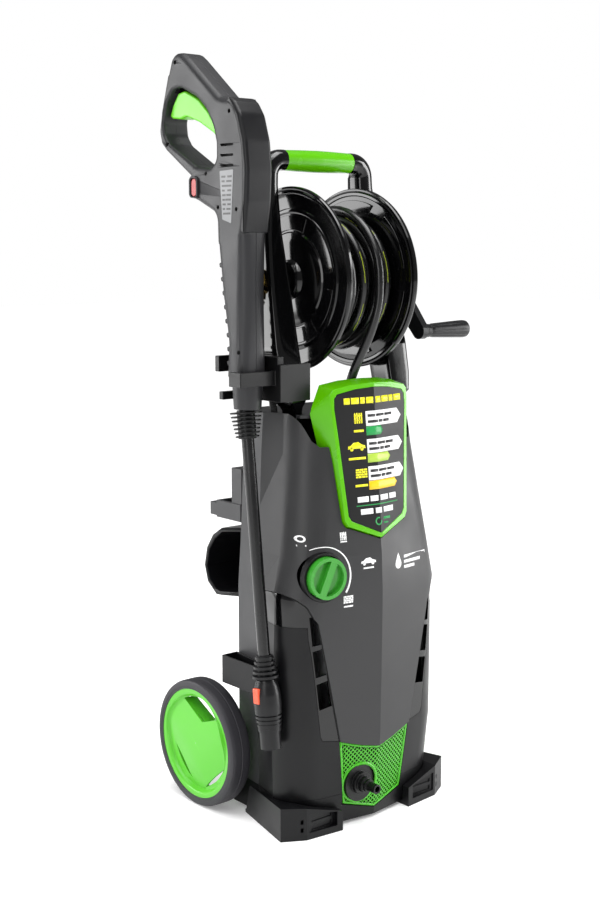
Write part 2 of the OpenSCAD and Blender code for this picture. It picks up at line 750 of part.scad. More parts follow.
module gun_shell(side) {
  x0 = side > 0 ? -gun_x + 0.02 : -gun_x - gun_t / 2;
  cut0 = side > 0 ? -gun_x - 1 : -gun_x - gun_t / 2 + 3;
  color("#6e6e72") difference() {
    union() {
      side_view(x0, x0 + gun_t / 2 - 0.02) polygon(GUN_OUT);
      if (side < 0) side_view(x0 - lock_proud, x0 + 2) polygon(LOCK_BOSS);
    }
    side_view(x0 - 1, x0 + gun_t / 2 + 1) polygon(GUN_LOOP);
    side_view(cut0, cut0 + gun_t / 2 - 2) polygon(GUN_ROOM);
    side_view(-gun_x - 13, -gun_x + 13) polygon([[0, 880], [8, 860], [12, 860], [12, 880],
      [30, 920], [52, 940], [90, 955], [108, 950], [109, 958], [99, 964], [84, 966],
      [44, 952], [18, 930], [2, 905]]);
    translate(valve_at) rotate([valve_tilt, 0, 0]) cylinder(r = 9.1, h = 40, center = true, $fn = arc_fn);
    if (side < 0) side_view(x0 - 5, x0 + 14) offset(delta = 0.3) polygon(LOCK_OUT);
    for (p = [[91.5, 990], [-21, 921], [112, 887], [28, 848], [2, 806], [-34, 803]])
      rod_x(2.6, side > 0 ? -gun_x + gun_t / 2 - 2 : -gun_x - gun_t / 2 - 1,
        side > 0 ? -gun_x + gun_t / 2 + 1 : -gun_x - gun_t / 2 + 2, p[0], p[1]);
    rod_z(15.6, 590, 606, -gun_x, -27);
  }
}

module gun_shell_left() { gun_shell(-1); }
module gun_shell_right() { gun_shell(1); }

module gun_trigger() {
  color("#8fe63c") difference() {
    side_view(-gun_x - 11.5, -gun_x + 11.5) polygon([[-3, 884], [3, 884], [12, 884], [22, 897],
      [54, 913], [82, 922], [94, 919], [112, 921], [117, 924], [110, 938], [98, 952],
      [84, 954], [54, 941], [33, 924], [18, 906], [6, 899], [-3, 898]]);
    rod_x(2.55, -gun_x - 20, -gun_x + 20, trigger_pivot[0], trigger_pivot[1]);
  }
}

module hose_lock() {
  outer = -gun_x - gun_t / 2;
  color("#a01010") side_view(outer - 1.5, outer + 8.5) polygon(LOCK_OUT);
}

// Valve: a body in the barrel, its inlet nose through the rear edge, and the trigger's pin.
module gun_valve() {
  color("#b89b50") {
    difference() {
      union() {
        side_view(-gun_x - 9, -gun_x + 9) polygon([[-30, 760], [-6, 760], [2, 806], [24, 816],
          [28, 832], [0, 846], [-26, 846], [-30, 830]]);
        translate(valve_at) rotate([valve_tilt, 0, 0]) translate([0, 0, -14])
          cylinder(r = 9, h = 16, $fn = arc_fn);
      }
      translate(valve_at) rotate([valve_tilt, 0, 0]) translate([0, 0, -12])
        cylinder(r = 5.1, h = 30, $fn = arc_fn);
    }
    rod_z(6, 580.5, 761, -gun_x, -22);
    rod_x(2.5, -gun_x - 16.8, -gun_x + 16.8, trigger_pivot[0], trigger_pivot[1]);
  }
}

// ---- Lance: built along its own axis, with the local +Z up the lance ----
module lance_frame() {
  translate(lance_top) rotate([-lance_tilt, 0, 0]) children();
}

module lance_socket() {
  color("#68686b") difference() {
    union() {
      translate([-gun_x, -29, 556]) cylinder(r1 = 17.5, r2 = 19.6, h = 36, $fn = arc_fn);
      rod_z(15.5, 591.8, 605.6, -gun_x, -27);
    }
    lance_frame() rod_z(lance_d / 2 + 0.06, -20, 34, 0, 0);
    rod_z(6.05, 579.5, 620, -gun_x, -22);
  }
}

module lance_bellows() {
  color("#121214") lance_frame() difference() {
    union() {
      rod_z(11.5, -28, 8.2, 0, 0);
      for (k = [0:6]) rod_z(20.3 - 0.85 * k, 3.6 - 5 * k, 5.6 - 5 * k, 0, 0);
    }
    rod_z(lance_d / 2 + 0.06, -40, 20, 0, 0);
  }
}

module lance_tube() {
  color("#101012") lance_frame() rod_z(lance_d / 2, -lance_l - 30, 30, 0, 0);
}

module nozzle_body() {
  color("#3c3c3e") lance_frame() translate([0, 0, -lance_l - 5]) difference() {
    union() {
      rod_z(10.5, -34, 0, 0, 0);
      for (k = [0:4]) rod_z(12 + 1.3 * k, -4.4 - 6 * k, -1.4 - 6 * k, 0, 0);
      translate([0, 0, -75]) rotate_extrude($fn = arc_fn)
        polygon([[0, 0], [17.3, 0], [17.8, 12], [17.4, 26], [15.5, 36], [12.5, 44], [0, 44]]);
    }
    rod_z(lance_d / 2 + 0.03, -25.2, 10, 0, 0);
    translate([-18.2, -5.6, -60.2]) cube([9.4, 11.2, 20.4]);
  }
}

module nozzle_button() {
  color("#f0593c") lance_frame() translate([0, 0, -lance_l - 5])
    translate([-18.6, -5.3, -60]) cube([6.3, 10.6, 20]);
}

module nozzle_head() {
  color("#38383a") lance_frame() translate([0, 0, -lance_l - 5]) difference() {
    union() {
      rod_z(13.4, -120, -96, 0, 0);
      rod_z(14.6, -98, -75.3, 0, 0);
      for (k = [0:3]) rod_z(17 - 0.7 * k, -80 - 5.4 * k, -77 - 5.4 * k, 0, 0);
    }
    rod_z(4, -130, -105, 0, 0);
  }
}

// ---- Fasteners ----
module body_screws() {
  color("#2c2c2e") {
    for (x = [-84, 84], z = [80, 250, 500]) rod_y(4.5, rear_y + 0.1, rear_y + 2.5, x, z);
  }
}

foot_base();
base_tray();
lower_body();
rear_housing();
front_cover();
vent_panel_left();
vent_panel_right();
inlet_grille();
water_inlet();
label_pod();
label_plate();
post_left();
post_right();
handle_core();
handle_grip();
gun_holder();
cable_hook_upper();
cable_hook_lower();
side_bin();
cable_gland();
axle();
axle_clips();
knob_bezel();
motor_housing();
capacitor();
switch_box();
pump_body();
pump_pistons();
feed_hose();
reel_bushes();
reel_swivel();
hose_guide();
body_screws();
hose_tail();
tyre_left();
tyre_right();
wheel_hub_left();
wheel_hub_right();
reel_drum();
reel_flange_left();
reel_flange_right();
crank_arm();
crank_grip();
hose_coil();
selector_knob();
motor_rotor();
motor_fan();
wobble_plate();
gun_shell_left();
gun_shell_right();
gun_trigger();
hose_lock();
gun_valve();
lance_socket();
lance_bellows();
lance_tube();
nozzle_body();
nozzle_button();
nozzle_head();
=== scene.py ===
"""Upright electric pressure washer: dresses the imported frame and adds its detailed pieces."""

import json
import logging
import math
from collections.abc import Callable, Iterable, Sequence
from dataclasses import dataclass, field
from enum import Enum
from typing import Any

import bmesh
import bpy
from mathutils import Matrix, Vector, geometry, noise
from mathutils.bvhtree import BVHTree


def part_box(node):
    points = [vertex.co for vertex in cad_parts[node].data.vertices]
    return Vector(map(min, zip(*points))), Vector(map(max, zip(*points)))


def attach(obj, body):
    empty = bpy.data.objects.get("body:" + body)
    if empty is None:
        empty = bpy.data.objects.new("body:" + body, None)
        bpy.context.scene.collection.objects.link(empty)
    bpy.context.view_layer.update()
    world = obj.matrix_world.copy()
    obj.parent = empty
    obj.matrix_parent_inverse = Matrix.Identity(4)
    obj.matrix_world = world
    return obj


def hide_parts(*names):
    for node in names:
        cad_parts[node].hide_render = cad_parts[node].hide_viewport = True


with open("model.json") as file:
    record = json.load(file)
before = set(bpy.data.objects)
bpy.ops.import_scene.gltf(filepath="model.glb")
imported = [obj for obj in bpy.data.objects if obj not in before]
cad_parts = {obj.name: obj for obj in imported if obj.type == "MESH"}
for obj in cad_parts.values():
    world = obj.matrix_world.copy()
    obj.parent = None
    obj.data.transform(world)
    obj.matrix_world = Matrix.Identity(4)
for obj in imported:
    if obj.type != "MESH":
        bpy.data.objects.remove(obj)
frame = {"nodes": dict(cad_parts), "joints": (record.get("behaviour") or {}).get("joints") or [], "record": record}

LOG = logging.getLogger("pressure_washer")
MM = 0.001
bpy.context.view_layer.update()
Point = tuple[float, float]
Corner = tuple[float, float, float]


class Along(Enum):
    """The plane that a flat outline is drawn in, as (across, up, depth) in the row frame."""

    SIDE = ((0, 1, 0), (0, 0, 1), (1, 0, 0))
    FRONT = ((1, 0, 0), (0, 0, 1), (0, -1, 0))

    def matrix(self) -> Matrix:
        """Returns the turn from the outline's own axes to the row frame."""
        across, up, depth = (Vector(v) for v in self.value)
        return Matrix((across, up, depth)).transposed().to_4x4()


# ---------------------------------------------------------------- finishes


def to_linear(code: str) -> tuple[float, float, float, float]:
    """Turns an sRGB hex code to a linear colour.

    Args:
        code: Six hex digits, with or without a leading hash.

    Returns:
        Linear red, green and blue, and an alpha of 1.
    """
    digits = code.lstrip("#")
    parts = [int(digits[i : i + 2], 16) / 255 for i in (0, 2, 4)]
    lin = [c / 12.92 if c <= 0.04045 else ((c + 0.055) / 1.055) ** 2.4 for c in parts]
    return (lin[0], lin[1], lin[2], 1.0)


def add_node(
    tree: bpy.types.NodeTree,
    kind: str,
    settings: dict[Any, Any] | None = None,
    links: dict[Any, Any] | None = None,
) -> bpy.types.Node:
    """Adds one node with its settings and links.

    Args:
        tree: The node tree to add to.
        kind: The node's type name.
        settings: Values by input name or number, or by property name.
        links: Source sockets by input name or number.

    Returns:
        The new node.
    """
    made = tree.nodes.new(kind)
    rest = dict(settings or {})
    for key in [k for k in rest if isinstance(k, str) and k not in made.inputs]:
        setattr(made, key, rest.pop(key))
    for key, value in rest.items():
        made.inputs[key].default_value = value
    for key, source in (links or {}).items():
        tree.links.new(source, made.inputs[key])
    return made


@dataclass(frozen=True)
class Finish:
    """A surface of one real material: its colour, gloss, moulded grain and handling wear.

    Lengths are in millimetres. tone is how far the colour drifts over a patch, and wear how
    strongly the outer edges lighten. A second colour past an X place is painted light: a lighter
    side that stands in for a lamp falling on it.
    """

    name: str
    colour: str
    roughness: float
    slot: str
    ior: float = 1.5
    metallic: float = 0.0
    grain: float = 0.9
    relief: float = 0.03
    patch: float = 45.0
    tone: float = 0.06
    spread: float = 0.05
    wear: float = 0.12
    coat: float = 0.0
    stretch: tuple[float, float, float] = (1.0, 1.0, 1.0)
    second: str | None = None
    lit_from_x: float = 0.0

    def shade(self, factor: float) -> tuple[float, float, float, float]:
        """Returns the colour made lighter or darker by a factor."""
        red, green, blue, alpha = to_linear(self.colour)
        return (min(1.0, red * factor), min(1.0, green * factor), min(1.0, blue * factor), alpha)

    def material(self) -> bpy.types.Material:
        """Builds the material once, and gives it again on every later call.

        Returns:
            The material.
        """
        known = bpy.data.materials.get(self.name)
        if known is not None:
            return known
        made = bpy.data.materials.new(self.name)
        made.use_nodes = True
        tree = made.node_tree
        shader = tree.nodes["Principled BSDF"]
        place = add_node(tree, "ShaderNodeTexCoord").outputs["Object"]
        stretched = add_node(
            tree, "ShaderNodeMapping", {"Scale": self.stretch}, {"Vector": place}
        ).outputs[0]
        cloud = add_node(
            tree, "ShaderNodeTexNoise", {"Scale": 1 / (self.patch * MM), "Detail": 3.0},
            {"Vector": place},
        ).outputs["Fac"]
        grain = add_node(
            tree, "ShaderNodeTexNoise", {"Scale": 1 / (self.grain * MM), "Detail": 2.0},
            {"Vector": stretched},
        ).outputs["Fac"]
        colour = add_node(
            tree, "ShaderNodeMix",
            {"data_type": "RGBA", 6: self.shade(1 - self.tone), 7: self.shade(1 + self.tone)},
            {0: cloud},
        ).outputs[2]
        # Painted light: past an X place the colour turns to the second, lighter colour, standing in for the lamp
        # light on that side.
        if self.second is not None:
            across = add_node(tree, "ShaderNodeSeparateXYZ", None, {0: place}).outputs[0]
            lit_side = add_node(
                tree, "ShaderNodeMath",
                {"operation": "GREATER_THAN", 1: self.lit_from_x * MM}, {0: across},
            ).outputs[0]
            colour = add_node(
                tree, "ShaderNodeMix", {"data_type": "RGBA", 7: to_linear(self.second)},
                {0: lit_side, 6: colour},
            ).outputs[2]
        edge = add_node(tree, "ShaderNodeNewGeometry").outputs["Pointiness"]
        worn = add_node(
            tree, "ShaderNodeMapRange",
            {"From Min": 0.53, "From Max": 0.62, "To Max": self.wear}, {"Value": edge},
        ).outputs[0]
        colour = add_node(
            tree, "ShaderNodeMix", {"data_type": "RGBA", 7: self.shade(1.9)},
            {0: worn, 6: colour},
        ).outputs[2]
        rough = add_node(
            tree, "ShaderNodeMapRange",
            {
                "From Min": 0.3, "From Max": 0.7,
                "To Min": self.roughness - self.spread, "To Max": self.roughness + self.spread,
            },
            {"Value": cloud},
        ).outputs[0]
        bump = add_node(
            tree, "ShaderNodeBump", {"Strength": 0.5, "Distance": self.relief * MM},
            {"Height": grain},
        ).outputs[0]
        shader.inputs["Metallic"].default_value = self.metallic
        if self.metallic == 0:
            shader.inputs["IOR"].default_value = self.ior
        shader.inputs["Coat Weight"].default_value = self.coat
        shader.inputs["Coat Roughness"].default_value = 0.06
        tree.links.new(colour, shader.inputs["Base Color"])
        tree.links.new(rough, shader.inputs["Roughness"])
        tree.links.new(bump, shader.inputs["Normal"])
        return made


# Spark-eroded ABS moulding: a fine even grain that breaks the light into a soft satin sweep.
COVER = Finish("satin_abs_cover", "#2B2B2C", 0.42, "cover_grey", ior=1.42, relief=0.02)
# Textured polypropylene of the housing: duller and a shade lighter on its big flat sides.
HOUSING = Finish("textured_pp_housing", "#2E2E30", 0.48, "housing_grey", relief=0.04)
# Filled polypropylene of the lower body: dark, with only a weak sheen along the corners.
LOWER = Finish("filled_pp_lower_body", "#0C0C0E", 0.36, "body_dark", ior=1.33, relief=0.03)
# Coarse moulded base: it takes the knocks, so its grain is deeper and its edges are scuffed.
BASE = Finish("coarse_pp_base", "#08080A", 0.4, "base_dark", ior=1.33, grain=1.2, relief=0.05,
              wear=0.3)
# Polished black ABS: near-black, with sharp bright reflections of the lamps.
GLOSS = Finish("polished_black_abs", "#050506", 0.12, "gloss_black", ior=1.42, relief=0.004,
               tone=0.02, spread=0.03, wear=0.04, coat=0.2)
# Black nylon fittings: dull, with a slight grain, so they read as rubbery beside the gloss.
BLACK = Finish("black_nylon", "#080809", 0.36, "black_plastic", ior=1.4, relief=0.02)
# Self-coloured green ABS of the grip and pod: a clean, soft highlight.
GREEN = Finish("green_abs", "#55AD00", 0.26, "green_gloss", ior=1.42, relief=0.008, tone=0.04,
               wear=0.05)
# Green ABS of the inlet grille, a little deeper because it is thin.
GRILLE = Finish("green_abs_grille", "#3FA812", 0.32, "green_grille", relief=0.008, tone=0.04)
# Yellow-green polypropylene of the wheel discs: waxy, with broad highlights.
WHEEL = Finish("green_pp_disc", "#57BB28", 0.34, "green_wheel", relief=0.015, tone=0.04)
# Trigger moulding, the lightest green.
TRIGGER = Finish("green_pp_trigger", "#66C81C", 0.34, "green_trigger", relief=0.01, tone=0.04)
# Knob moulding, a cooler green with a polished face.
KNOB = Finish("green_abs_knob", "#35902A", 0.24, "green_knob", relief=0.006, tone=0.04)
# Polyester film of the label. Its right half is a lighter grey: painted light for the right-hand lamp falling on
# the right facet.
LABEL = Finish("label_film_painted_light", "#0B0B0C", 0.45, "label", ior=1.35, relief=0.003, tone=0.02,
               wear=0.0, second="#161617")
# Gun shells: glass-filled nylon with a fine satin grain.
GUN = Finish("glass_filled_nylon_gun", "#29292B", 0.42, "gun_grey", ior=1.4, relief=0.03)
# Front strip of the gun: the same nylon painted a darker shade, standing in for the shade on the front that faces
# away from the lamps, with a softer sheen.
SHADED_GUN_NYLON = Finish("gun_nylon_painted_shade", "#151517", 0.36, "gun_grey", ior=1.35, relief=0.02)
# Turned and handled dark parts of the lance and crank.
GRIP = Finish("dark_nylon_grip", "#0E0E10", 0.36, "grip_grey", ior=1.4, relief=0.02)
# Red acetal button: saturated and slightly waxy.
RED = Finish("red_acetal", "#A01010", 0.3, "red", relief=0.005, tone=0.04)
# Orange-red acetal slide.
ORANGE = Finish("orange_acetal", "#EE5838", 0.32, "orange", relief=0.005, tone=0.04)
# EVA tread: a dry dark grey with fine drawn marks round the tread.
TYRE = Finish("moulded_eva_tyre", "#29282D", 0.6, "tyre", grain=1.6, relief=0.09, wear=0.2,
              stretch=(3.0, 0.6, 0.6))
# Smooth rubber hose jacket: black, with a long narrow highlight along each turn.
HOSE = Finish("rubber_hose_jacket", "#0C0C0D", 0.28, "hose", relief=0.01, spread=0.06)
# Black electrocoat on the steel lance.
LANCE = Finish("electrocoated_steel", "#0B0B0C", 0.25, "lance_steel", relief=0.004, wear=0.1)
# Turned steel: fine rings from the tool, stretched round the shaft.
STEEL = Finish("turned_steel", "#B4B4B6", 0.3, "steel", metallic=1.0, grain=0.7, relief=0.01,
               stretch=(6.0, 1.0, 1.0), tone=0.05)
# Die-cast aluminium: a matt silvery skin with faint flow clouds.
ALLOY = Finish("die_cast_aluminium", "#B8BABD", 0.48, "alloy", metallic=1.0, relief=0.05)
# Turned brass of the swivel and valve.
BRASS = Finish("turned_brass", "#C9A652", 0.3, "brass", metallic=1.0, relief=0.01)
# Natural nylon: off-white and faintly glossy.
NYLON = Finish("natural_nylon", "#D6D4CC", 0.42, "nylon", relief=0.01)
# Light grey rating label.
PLATE = Finish("rating_label_film", "#77787A", 0.4, "gun_grey", relief=0.003, wear=0.0)
# Painted shade for recesses, slots and the space behind the vents and grille: near-black and dead matt, so that no
# lamp shows in it.
PAINTED_SHADE = Finish("painted_recess_shade", "#050506", 0.8, "black_plastic", relief=0.01, wear=0.0)


def ink(name: str, colour: str) -> Finish:
    """Screen ink: flat, even and slightly satin.

    Args:
        name: The finish's name.
        colour: Its sRGB hex code.

    Returns:
        The finish.
    """
    return Finish(name, colour, 0.38, "label", relief=0.002, tone=0.02, wear=0.0)


WHITE_INK = ink("white_screen_ink", "#F2F2F2")
YELLOW_INK = ink("yellow_screen_ink", "#EDE500")
DEEP_GREEN_INK = ink("deep_green_screen_ink", "#0B9444")
LIME_INK = ink("lime_screen_ink", "#A9C940")
AMBER_INK = ink("amber_screen_ink", "#F5C400")
BLACK_INK = ink("black_screen_ink", "#1E1E20")
HOSE_INK = ink("hose_print_ink", "#A8B82C")


# ---------------------------------------------------------------- mesh tools


def joint(name: str) -> dict[str, Any]:
    """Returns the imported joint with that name."""
    return next(j for j in frame["joints"] if j["name"] == name)


def box_mm(node: str) -> tuple[Vector, Vector]:
    """Returns a CAD node's lowest and highest corner in millimetres."""
    low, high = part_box(node)
    return low / MM, high / MM


def piece(
    name: str,
    points: Sequence[Sequence[float]],
    faces: Sequence[Sequence[int]],
    finish: Finish,
    body: str,
    place: Matrix | None = None,
    sharp: float = 35.0,
) -> bpy.types.Object:
    """Makes a mesh piece from points in millimetres and rides it on a body.

    Args:
        name: The piece's name.
        points: Its vertices in millimetres.
        faces: Its faces as vertex numbers.
        finish: What it is made of.
        body: The CAD body that it moves with.
        place: A turn and shift from the points' own axes, in millimetres.
        sharp: Edges bent by more than this many degrees stay crisp.

    Returns:
        The new object.
    """
    mesh = bpy.data.meshes.new(name)
    turn = place or Matrix.Identity(4)
    mesh.from_pydata([(turn @ Vector(p)) * MM for p in points], [], [list(f) for f in faces])
    work = bmesh.new()
    work.from_mesh(mesh)
    bmesh.ops.remove_doubles(work, verts=work.verts, dist=0.002 * MM)
    bmesh.ops.recalc_face_normals(work, faces=work.faces)
    work.to_mesh(mesh)
    work.free()
    mesh.polygons.foreach_set("use_smooth", [True] * len(mesh.polygons))
    mesh.set_sharp_from_angle(angle=math.radians(sharp))
    made = bpy.data.objects.new(name, mesh)
    bpy.context.scene.collection.objects.link(made)
    mesh.materials.append(finish.material())
    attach(made, body)
    weighted = made.modifiers.new("even_normals", "WEIGHTED_NORMAL")
    weighted.keep_sharp = True
    LOG.info("%s: %d faces", name, len(mesh.polygons))
    return made


def rounded(corners: Iterable[Corner], steps: int = 6) -> list[Point]:
    """Rounds each corner of an outline with an arc.

    Args:
        corners: Each corner and its radius.
        steps: How many pieces each arc has.

    Returns:
        The outline's points, in the same order.
    """
    given = list(corners)
    out: list[Point] = []
    for i, (x, y, radius) in enumerate(given):
        here = Vector((x, y))
        back = Vector(given[i - 1][:2]) - here
        on = Vector(given[(i + 1) % len(given)][:2]) - here
        room = 0.48 * min(back.length, on.length)
        back.normalize()
        on.normalize()
        half = math.acos(max(-1.0, min(1.0, back.dot(on)))) / 2
        if radius <= 0 or half > math.pi / 2 - 0.01:
            out.append((x, y))
            continue
        reach = min(radius / math.tan(half), room)
        arc = reach * math.tan(half)
        centre = here + (back + on).normalized() * (arc / math.sin(half))
        first = here + back * reach - centre
        turn = first.angle_signed(here + on * reach - centre)
        for k in range(steps + 1):
            spoke = first.copy()
            spoke.rotate(Matrix.Rotation(-turn * k / steps, 2))
            out.append(tuple(centre + spoke))
    return out


def inset(loop: Sequence[Point], depths: Sequence[float]) -> list[Point]:
    """Moves each edge of a loop to its left by its own distance.

    Args:
        loop: The loop, running anticlockwise round solid material.
        depths: The distance for the edge that starts at each point.

    Returns:
        The moved points.
    """
    out: list[Point] = []
    count = len(loop)
    for i in range(count):
        here = Vector(loop[i])
        first = (here - Vector(loop[i - 1])).normalized()
        second = (Vector(loop[(i + 1) % count]) - here).normalized()
        a, b = Vector((-first.y, first.x)), Vector((-second.y, second.x))
        da, db = depths[i - 1], depths[i]
        cross = a.x * b.y - a.y * b.x
        if abs(cross) < 0.26:
            mid = (a + b).normalized()
            move = mid * ((da + db) / 2 / max(0.3, mid.dot(a)))
        else:
            move = Vector(((da * b.y - db * a.y) / cross, (a.x * db - b.x * da) / cross))
        out.append(tuple(here + move))
    return out


def area(loop: Sequence[Point]) -> float:
    """Returns a loop's signed area, which is positive if it runs anticlockwise."""
    return 0.5 * sum(a[0] * b[1] - b[0] * a[1] for a, b in zip(loop, [*loop[1:], loop[0]]))


def slab(
    name: str,
    loops: Sequence[Sequence[Point]],
    near: float,
    far: float,
    finish: Finish,
    body: str,
    edges: tuple[float, float] = (1.0, 1.0),
    along: Along = Along.SIDE,
    radius_at: Callable[[Point], float] | None = None,
) -> bpy.types.Object:
    """Makes a plate with rounded rims from an outline and its holes.

    Args:
        name: The piece's name.
        loops: The outline first and then its holes, in millimetres.
        near: Where the plate starts along its depth.
        far: Where it ends.
        finish: What it is made of.
        body: The CAD body that it moves with.
        edges: The rim's radius on the near and far sides.
        along: The plane that the outline is drawn in.
        radius_at: Scales the rims, by where along the outline they are.

    Returns:
        The new object.
    """
    solid = [list(l) if (area(l) > 0) == (i == 0) else list(l)[::-1] for i, l in enumerate(loops)]
    quarter = [math.radians(a) for a in (0, 22.5, 45, 67.5, 90)]
    rings = [(edges[0] * (1 - math.sin(a)), near + edges[0] * (1 - math.cos(a))) for a in quarter]
    rings += [(edges[1] * (1 - math.sin(a)), far - edges[1] * (1 - math.cos(a)))
              for a in reversed(quarter)]
    scale = radius_at or (lambda _: 1.0)
    points: list[tuple[float, float, float]] = []
    faces: list[list[int]] = []
    caps: list[list[list[int]]] = [[], []]
    for loop in solid:
        count = len(loop)
        mids = [((a[0] + b[0]) / 2, (a[1] + b[1]) / 2) for a, b in zip(loop, [*loop[1:], loop[0]])]
        factor = [scale(m) for m in mids]
        start = len(points)
        for move, depth in rings:
            at_far = depth > (near + far) / 2
            edge = edges[1] if at_far else edges[0]
            for i, p in enumerate(inset(loop, [move * f for f in factor])):
                f = (factor[i - 1] + factor[i]) / 2
                fall = (far - depth if at_far else depth - near) if edge else 0.0
                points.append((*p, far - fall * f if at_far else near + fall * f))
        for r in range(len(rings) - 1):
            for i in range(count):
                a = start + r * count + i
                b = start + r * count + (i + 1) % count
                faces.append([a, b, b + count, a + count])
        caps[0].append([start + i for i in range(count)])
        caps[1].append([start + (len(rings) - 1) * count + i for i in range(count)])
    for cap in caps:
        flat = [i for ring in cap for i in ring]
        shapes = [[Vector((points[i][0], points[i][1], 0)) for i in ring] for ring in cap]
        faces += [[flat[i] for i in tri] for tri in geometry.tessellate_polygon(shapes)]
    return piece(name, points, faces, finish, body, along.matrix())


def lathe(
    name: str,
    profile: Sequence[Point],
    finish: Finish,
    body: str,
    place: Matrix,
    sides: int = 96,
    shape: Callable[[float, float, float], float] | None = None,
) -> bpy.types.Object:
    """Turns a closed profile round its own X axis.

    Args:
        name: The piece's name.
        profile: Radius and place along the axis, going once round the section.
        finish: What it is made of.
        body: The CAD body that it moves with.
        place: Puts the axis in the row frame, in millimetres.
        sides: How many steps make a full turn.
        shape: Changes the radius, given the radius, the place along and the angle.

    Returns:
        The new object.
    """
    points: list[tuple[float, float, float]] = []
    count = len(profile)
    for k in range(sides):
        angle = math.tau * k / sides
        for radius, along in profile:
            r = shape(radius, along, angle) if shape else radius
            points.append((along, r * math.cos(angle), r * math.sin(angle)))
    faces = [
        [k * count + i, k * count + (i + 1) % count,
         (k + 1) % sides * count + (i + 1) % count, (k + 1) % sides * count + i]
        for k in range(sides) for i in range(count)
    ]
    return piece(name, points, faces, finish, body, place, sharp=28)


def line(
    name: str, path: Sequence[Vector], diameter: float, finish: Finish, body: str
) -> bpy.types.Object:
    """Makes a round cord as a curve of one open spline.

    Args:
        name: The piece's name.
        path: The centreline's points in millimetres.
        diameter: The cord's diameter in millimetres.
        finish: What it is made of.
        body: The CAD body that it moves with.

    Returns:
        The new object.
    """
    data = bpy.data.curves.new(name, "CURVE")
    data.dimensions = "3D"
    data.bevel_depth = diameter / 2 * MM
    data.bevel_resolution = 5
    data.use_fill_caps = True
    spline = data.splines.new("POLY")
    spline.points.add(len(path) - 1)
    for point, at in zip(spline.points, path):
        point.co = (*(at * MM), 1.0)
    spline.use_smooth = True
    data.materials.append(finish.material())
    made = bpy.data.objects.new(name, data)
    bpy.context.scene.collection.objects.link(made)
    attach(made, body)
    LOG.info("%s: %d points", name, len(path))
    return made


def smooth_path(knots: Sequence[Vector], steps: int = 8) -> list[Vector]:
    """Runs a smooth curve through every knot.

    Args:
        knots: The points to go through.
        steps: How many pieces each stretch has.

    Returns:
        The curve's points.
    """
    ends = [knots[0] * 2 - knots[1], *knots, knots[-1] * 2 - knots[-2]]
    out: list[Vector] = []
    for a, b, c, d in zip(ends, ends[1:], ends[2:], ends[3:]):
        for k in range(steps):
            t = k / steps
            out.append(
                0.5 * ((2 * b) + (c - a) * t + (2 * a - 5 * b + 4 * c - d) * t**2
                       + (3 * b - a - 3 * c + d) * t**3)
            )
    return [*out, knots[-1].copy()]


def carve(
    target: bpy.types.Object,
    cutters: Sequence[tuple[Sequence[Point], float, float]],
    along: Along,
    finish: Finish = PAINTED_SHADE,
) -> None:
    """Cuts prisms out of a piece, and lines the cuts with a finish.

    Args:
        target: The piece to cut.
        cutters: For each cut its outline and the depths it runs between, in millimetres.
        along: The plane that the outlines are drawn in.
        finish: What shows inside the cuts; by default painted shade.
    """
    work = bmesh.new()
    turn = along.matrix()
    for outline, start, end in cutters:
        loop = list(outline) if area(outline) > 0 else list(outline)[::-1]
        rings = [[work.verts.new(turn @ Vector((*p, d)) * MM) for p in loop] for d in (start, end)]
        work.faces.new(rings[0][::-1])
        work.faces.new(rings[1])
        for i in range(len(loop)):
            j = (i + 1) % len(loop)
            work.faces.new([rings[0][i], rings[0][j], rings[1][j], rings[1][i]])
    bmesh.ops.recalc_face_normals(work, faces=work.faces)
    mesh = bpy.data.meshes.new("cutter")
    work.to_mesh(mesh)
    work.free()
    mesh.materials.append(finish.material())
    cutter = bpy.data.objects.new("cutter", mesh)
    bpy.context.scene.collection.objects.link(cutter)
    cut = target.modifiers.new("cut", "BOOLEAN")
    cut.operation = "DIFFERENCE"
    cut.solver = "EXACT"
    cut.object = cutter
    cut.material_mode = "TRANSFER"
    target.modifiers.move(len(target.modifiers) - 1, 0)
    bpy.context.view_layer.update()
    graph = bpy.context.evaluated_depsgraph_get()
    normals = target.modifiers.get("even_normals")
    if normals is not None:
        normals.show_viewport = False
    done = bpy.data.meshes.new_from_object(target.evaluated_get(graph))
    if normals is not None:
        normals.show_viewport = True
    target.modifiers.remove(cut)
    target.data = done
    done.set_sharp_from_angle(angle=math.radians(35))
    bpy.data.objects.remove(cutter)


def circle(y: float, z: float, radius: float, sides: int = 20) -> list[Point]:
    """Returns a circle's points."""
    turns = [math.tau * k / sides for k in range(sides)]
    return [(y + radius * math.cos(a), z + radius * math.sin(a)) for a in turns]


def soften(node: str, finish: Finish, edge: float = 1.0, angle: float = 30.0) -> None:
    """Gives a CAD node its material and eases its edges, without touching its mesh.

    Args:
        node: The node's name.
        finish: What it is made of.
        edge: The width of the eased edges in millimetres, or 0 to leave them.
        angle: Edges bent by more than this many degrees are eased.
    """
    target = frame["nodes"][node]
    target.data.materials.clear()
    target.data.materials.append(finish.material())
    shading = target.modifiers.new("smooth", "NODES")
    shading.node_group = smoothing(angle)
    if edge > 0:
        ease_edges(target, edge, angle).harden_normals = True
    LOG.info("%s: dressed in %s", node, finish.name)


def ease_edges(target: bpy.types.Object, width: float, angle: float) -> bpy.types.Modifier:
    """Adds the modifier that rounds a piece's bent edges.

    Args:
        target: The piece.
        width: The width of the eased edges in millimetres.
        angle: Edges bent by more than this many degrees are eased.

    Returns:
        The modifier.
    """
    bevel = target.modifiers.new("eased_edges", "BEVEL")
    bevel.width = width * MM
    bevel.segments = 2
    bevel.limit_method = "ANGLE"
    bevel.angle_limit = math.radians(angle)
    return bevel


def thicken(target: bpy.types.Object, depth: float, label: str = "depth") -> None:
    """Gives a sheet its depth, behind its own face.

    Args:
        target: The sheet.
        depth: Its thickness in millimetres.
        label: The modifier's name.
    """
    sheet = target.modifiers.new(label, "SOLIDIFY")
    sheet.thickness = depth * MM
    sheet.offset = -1


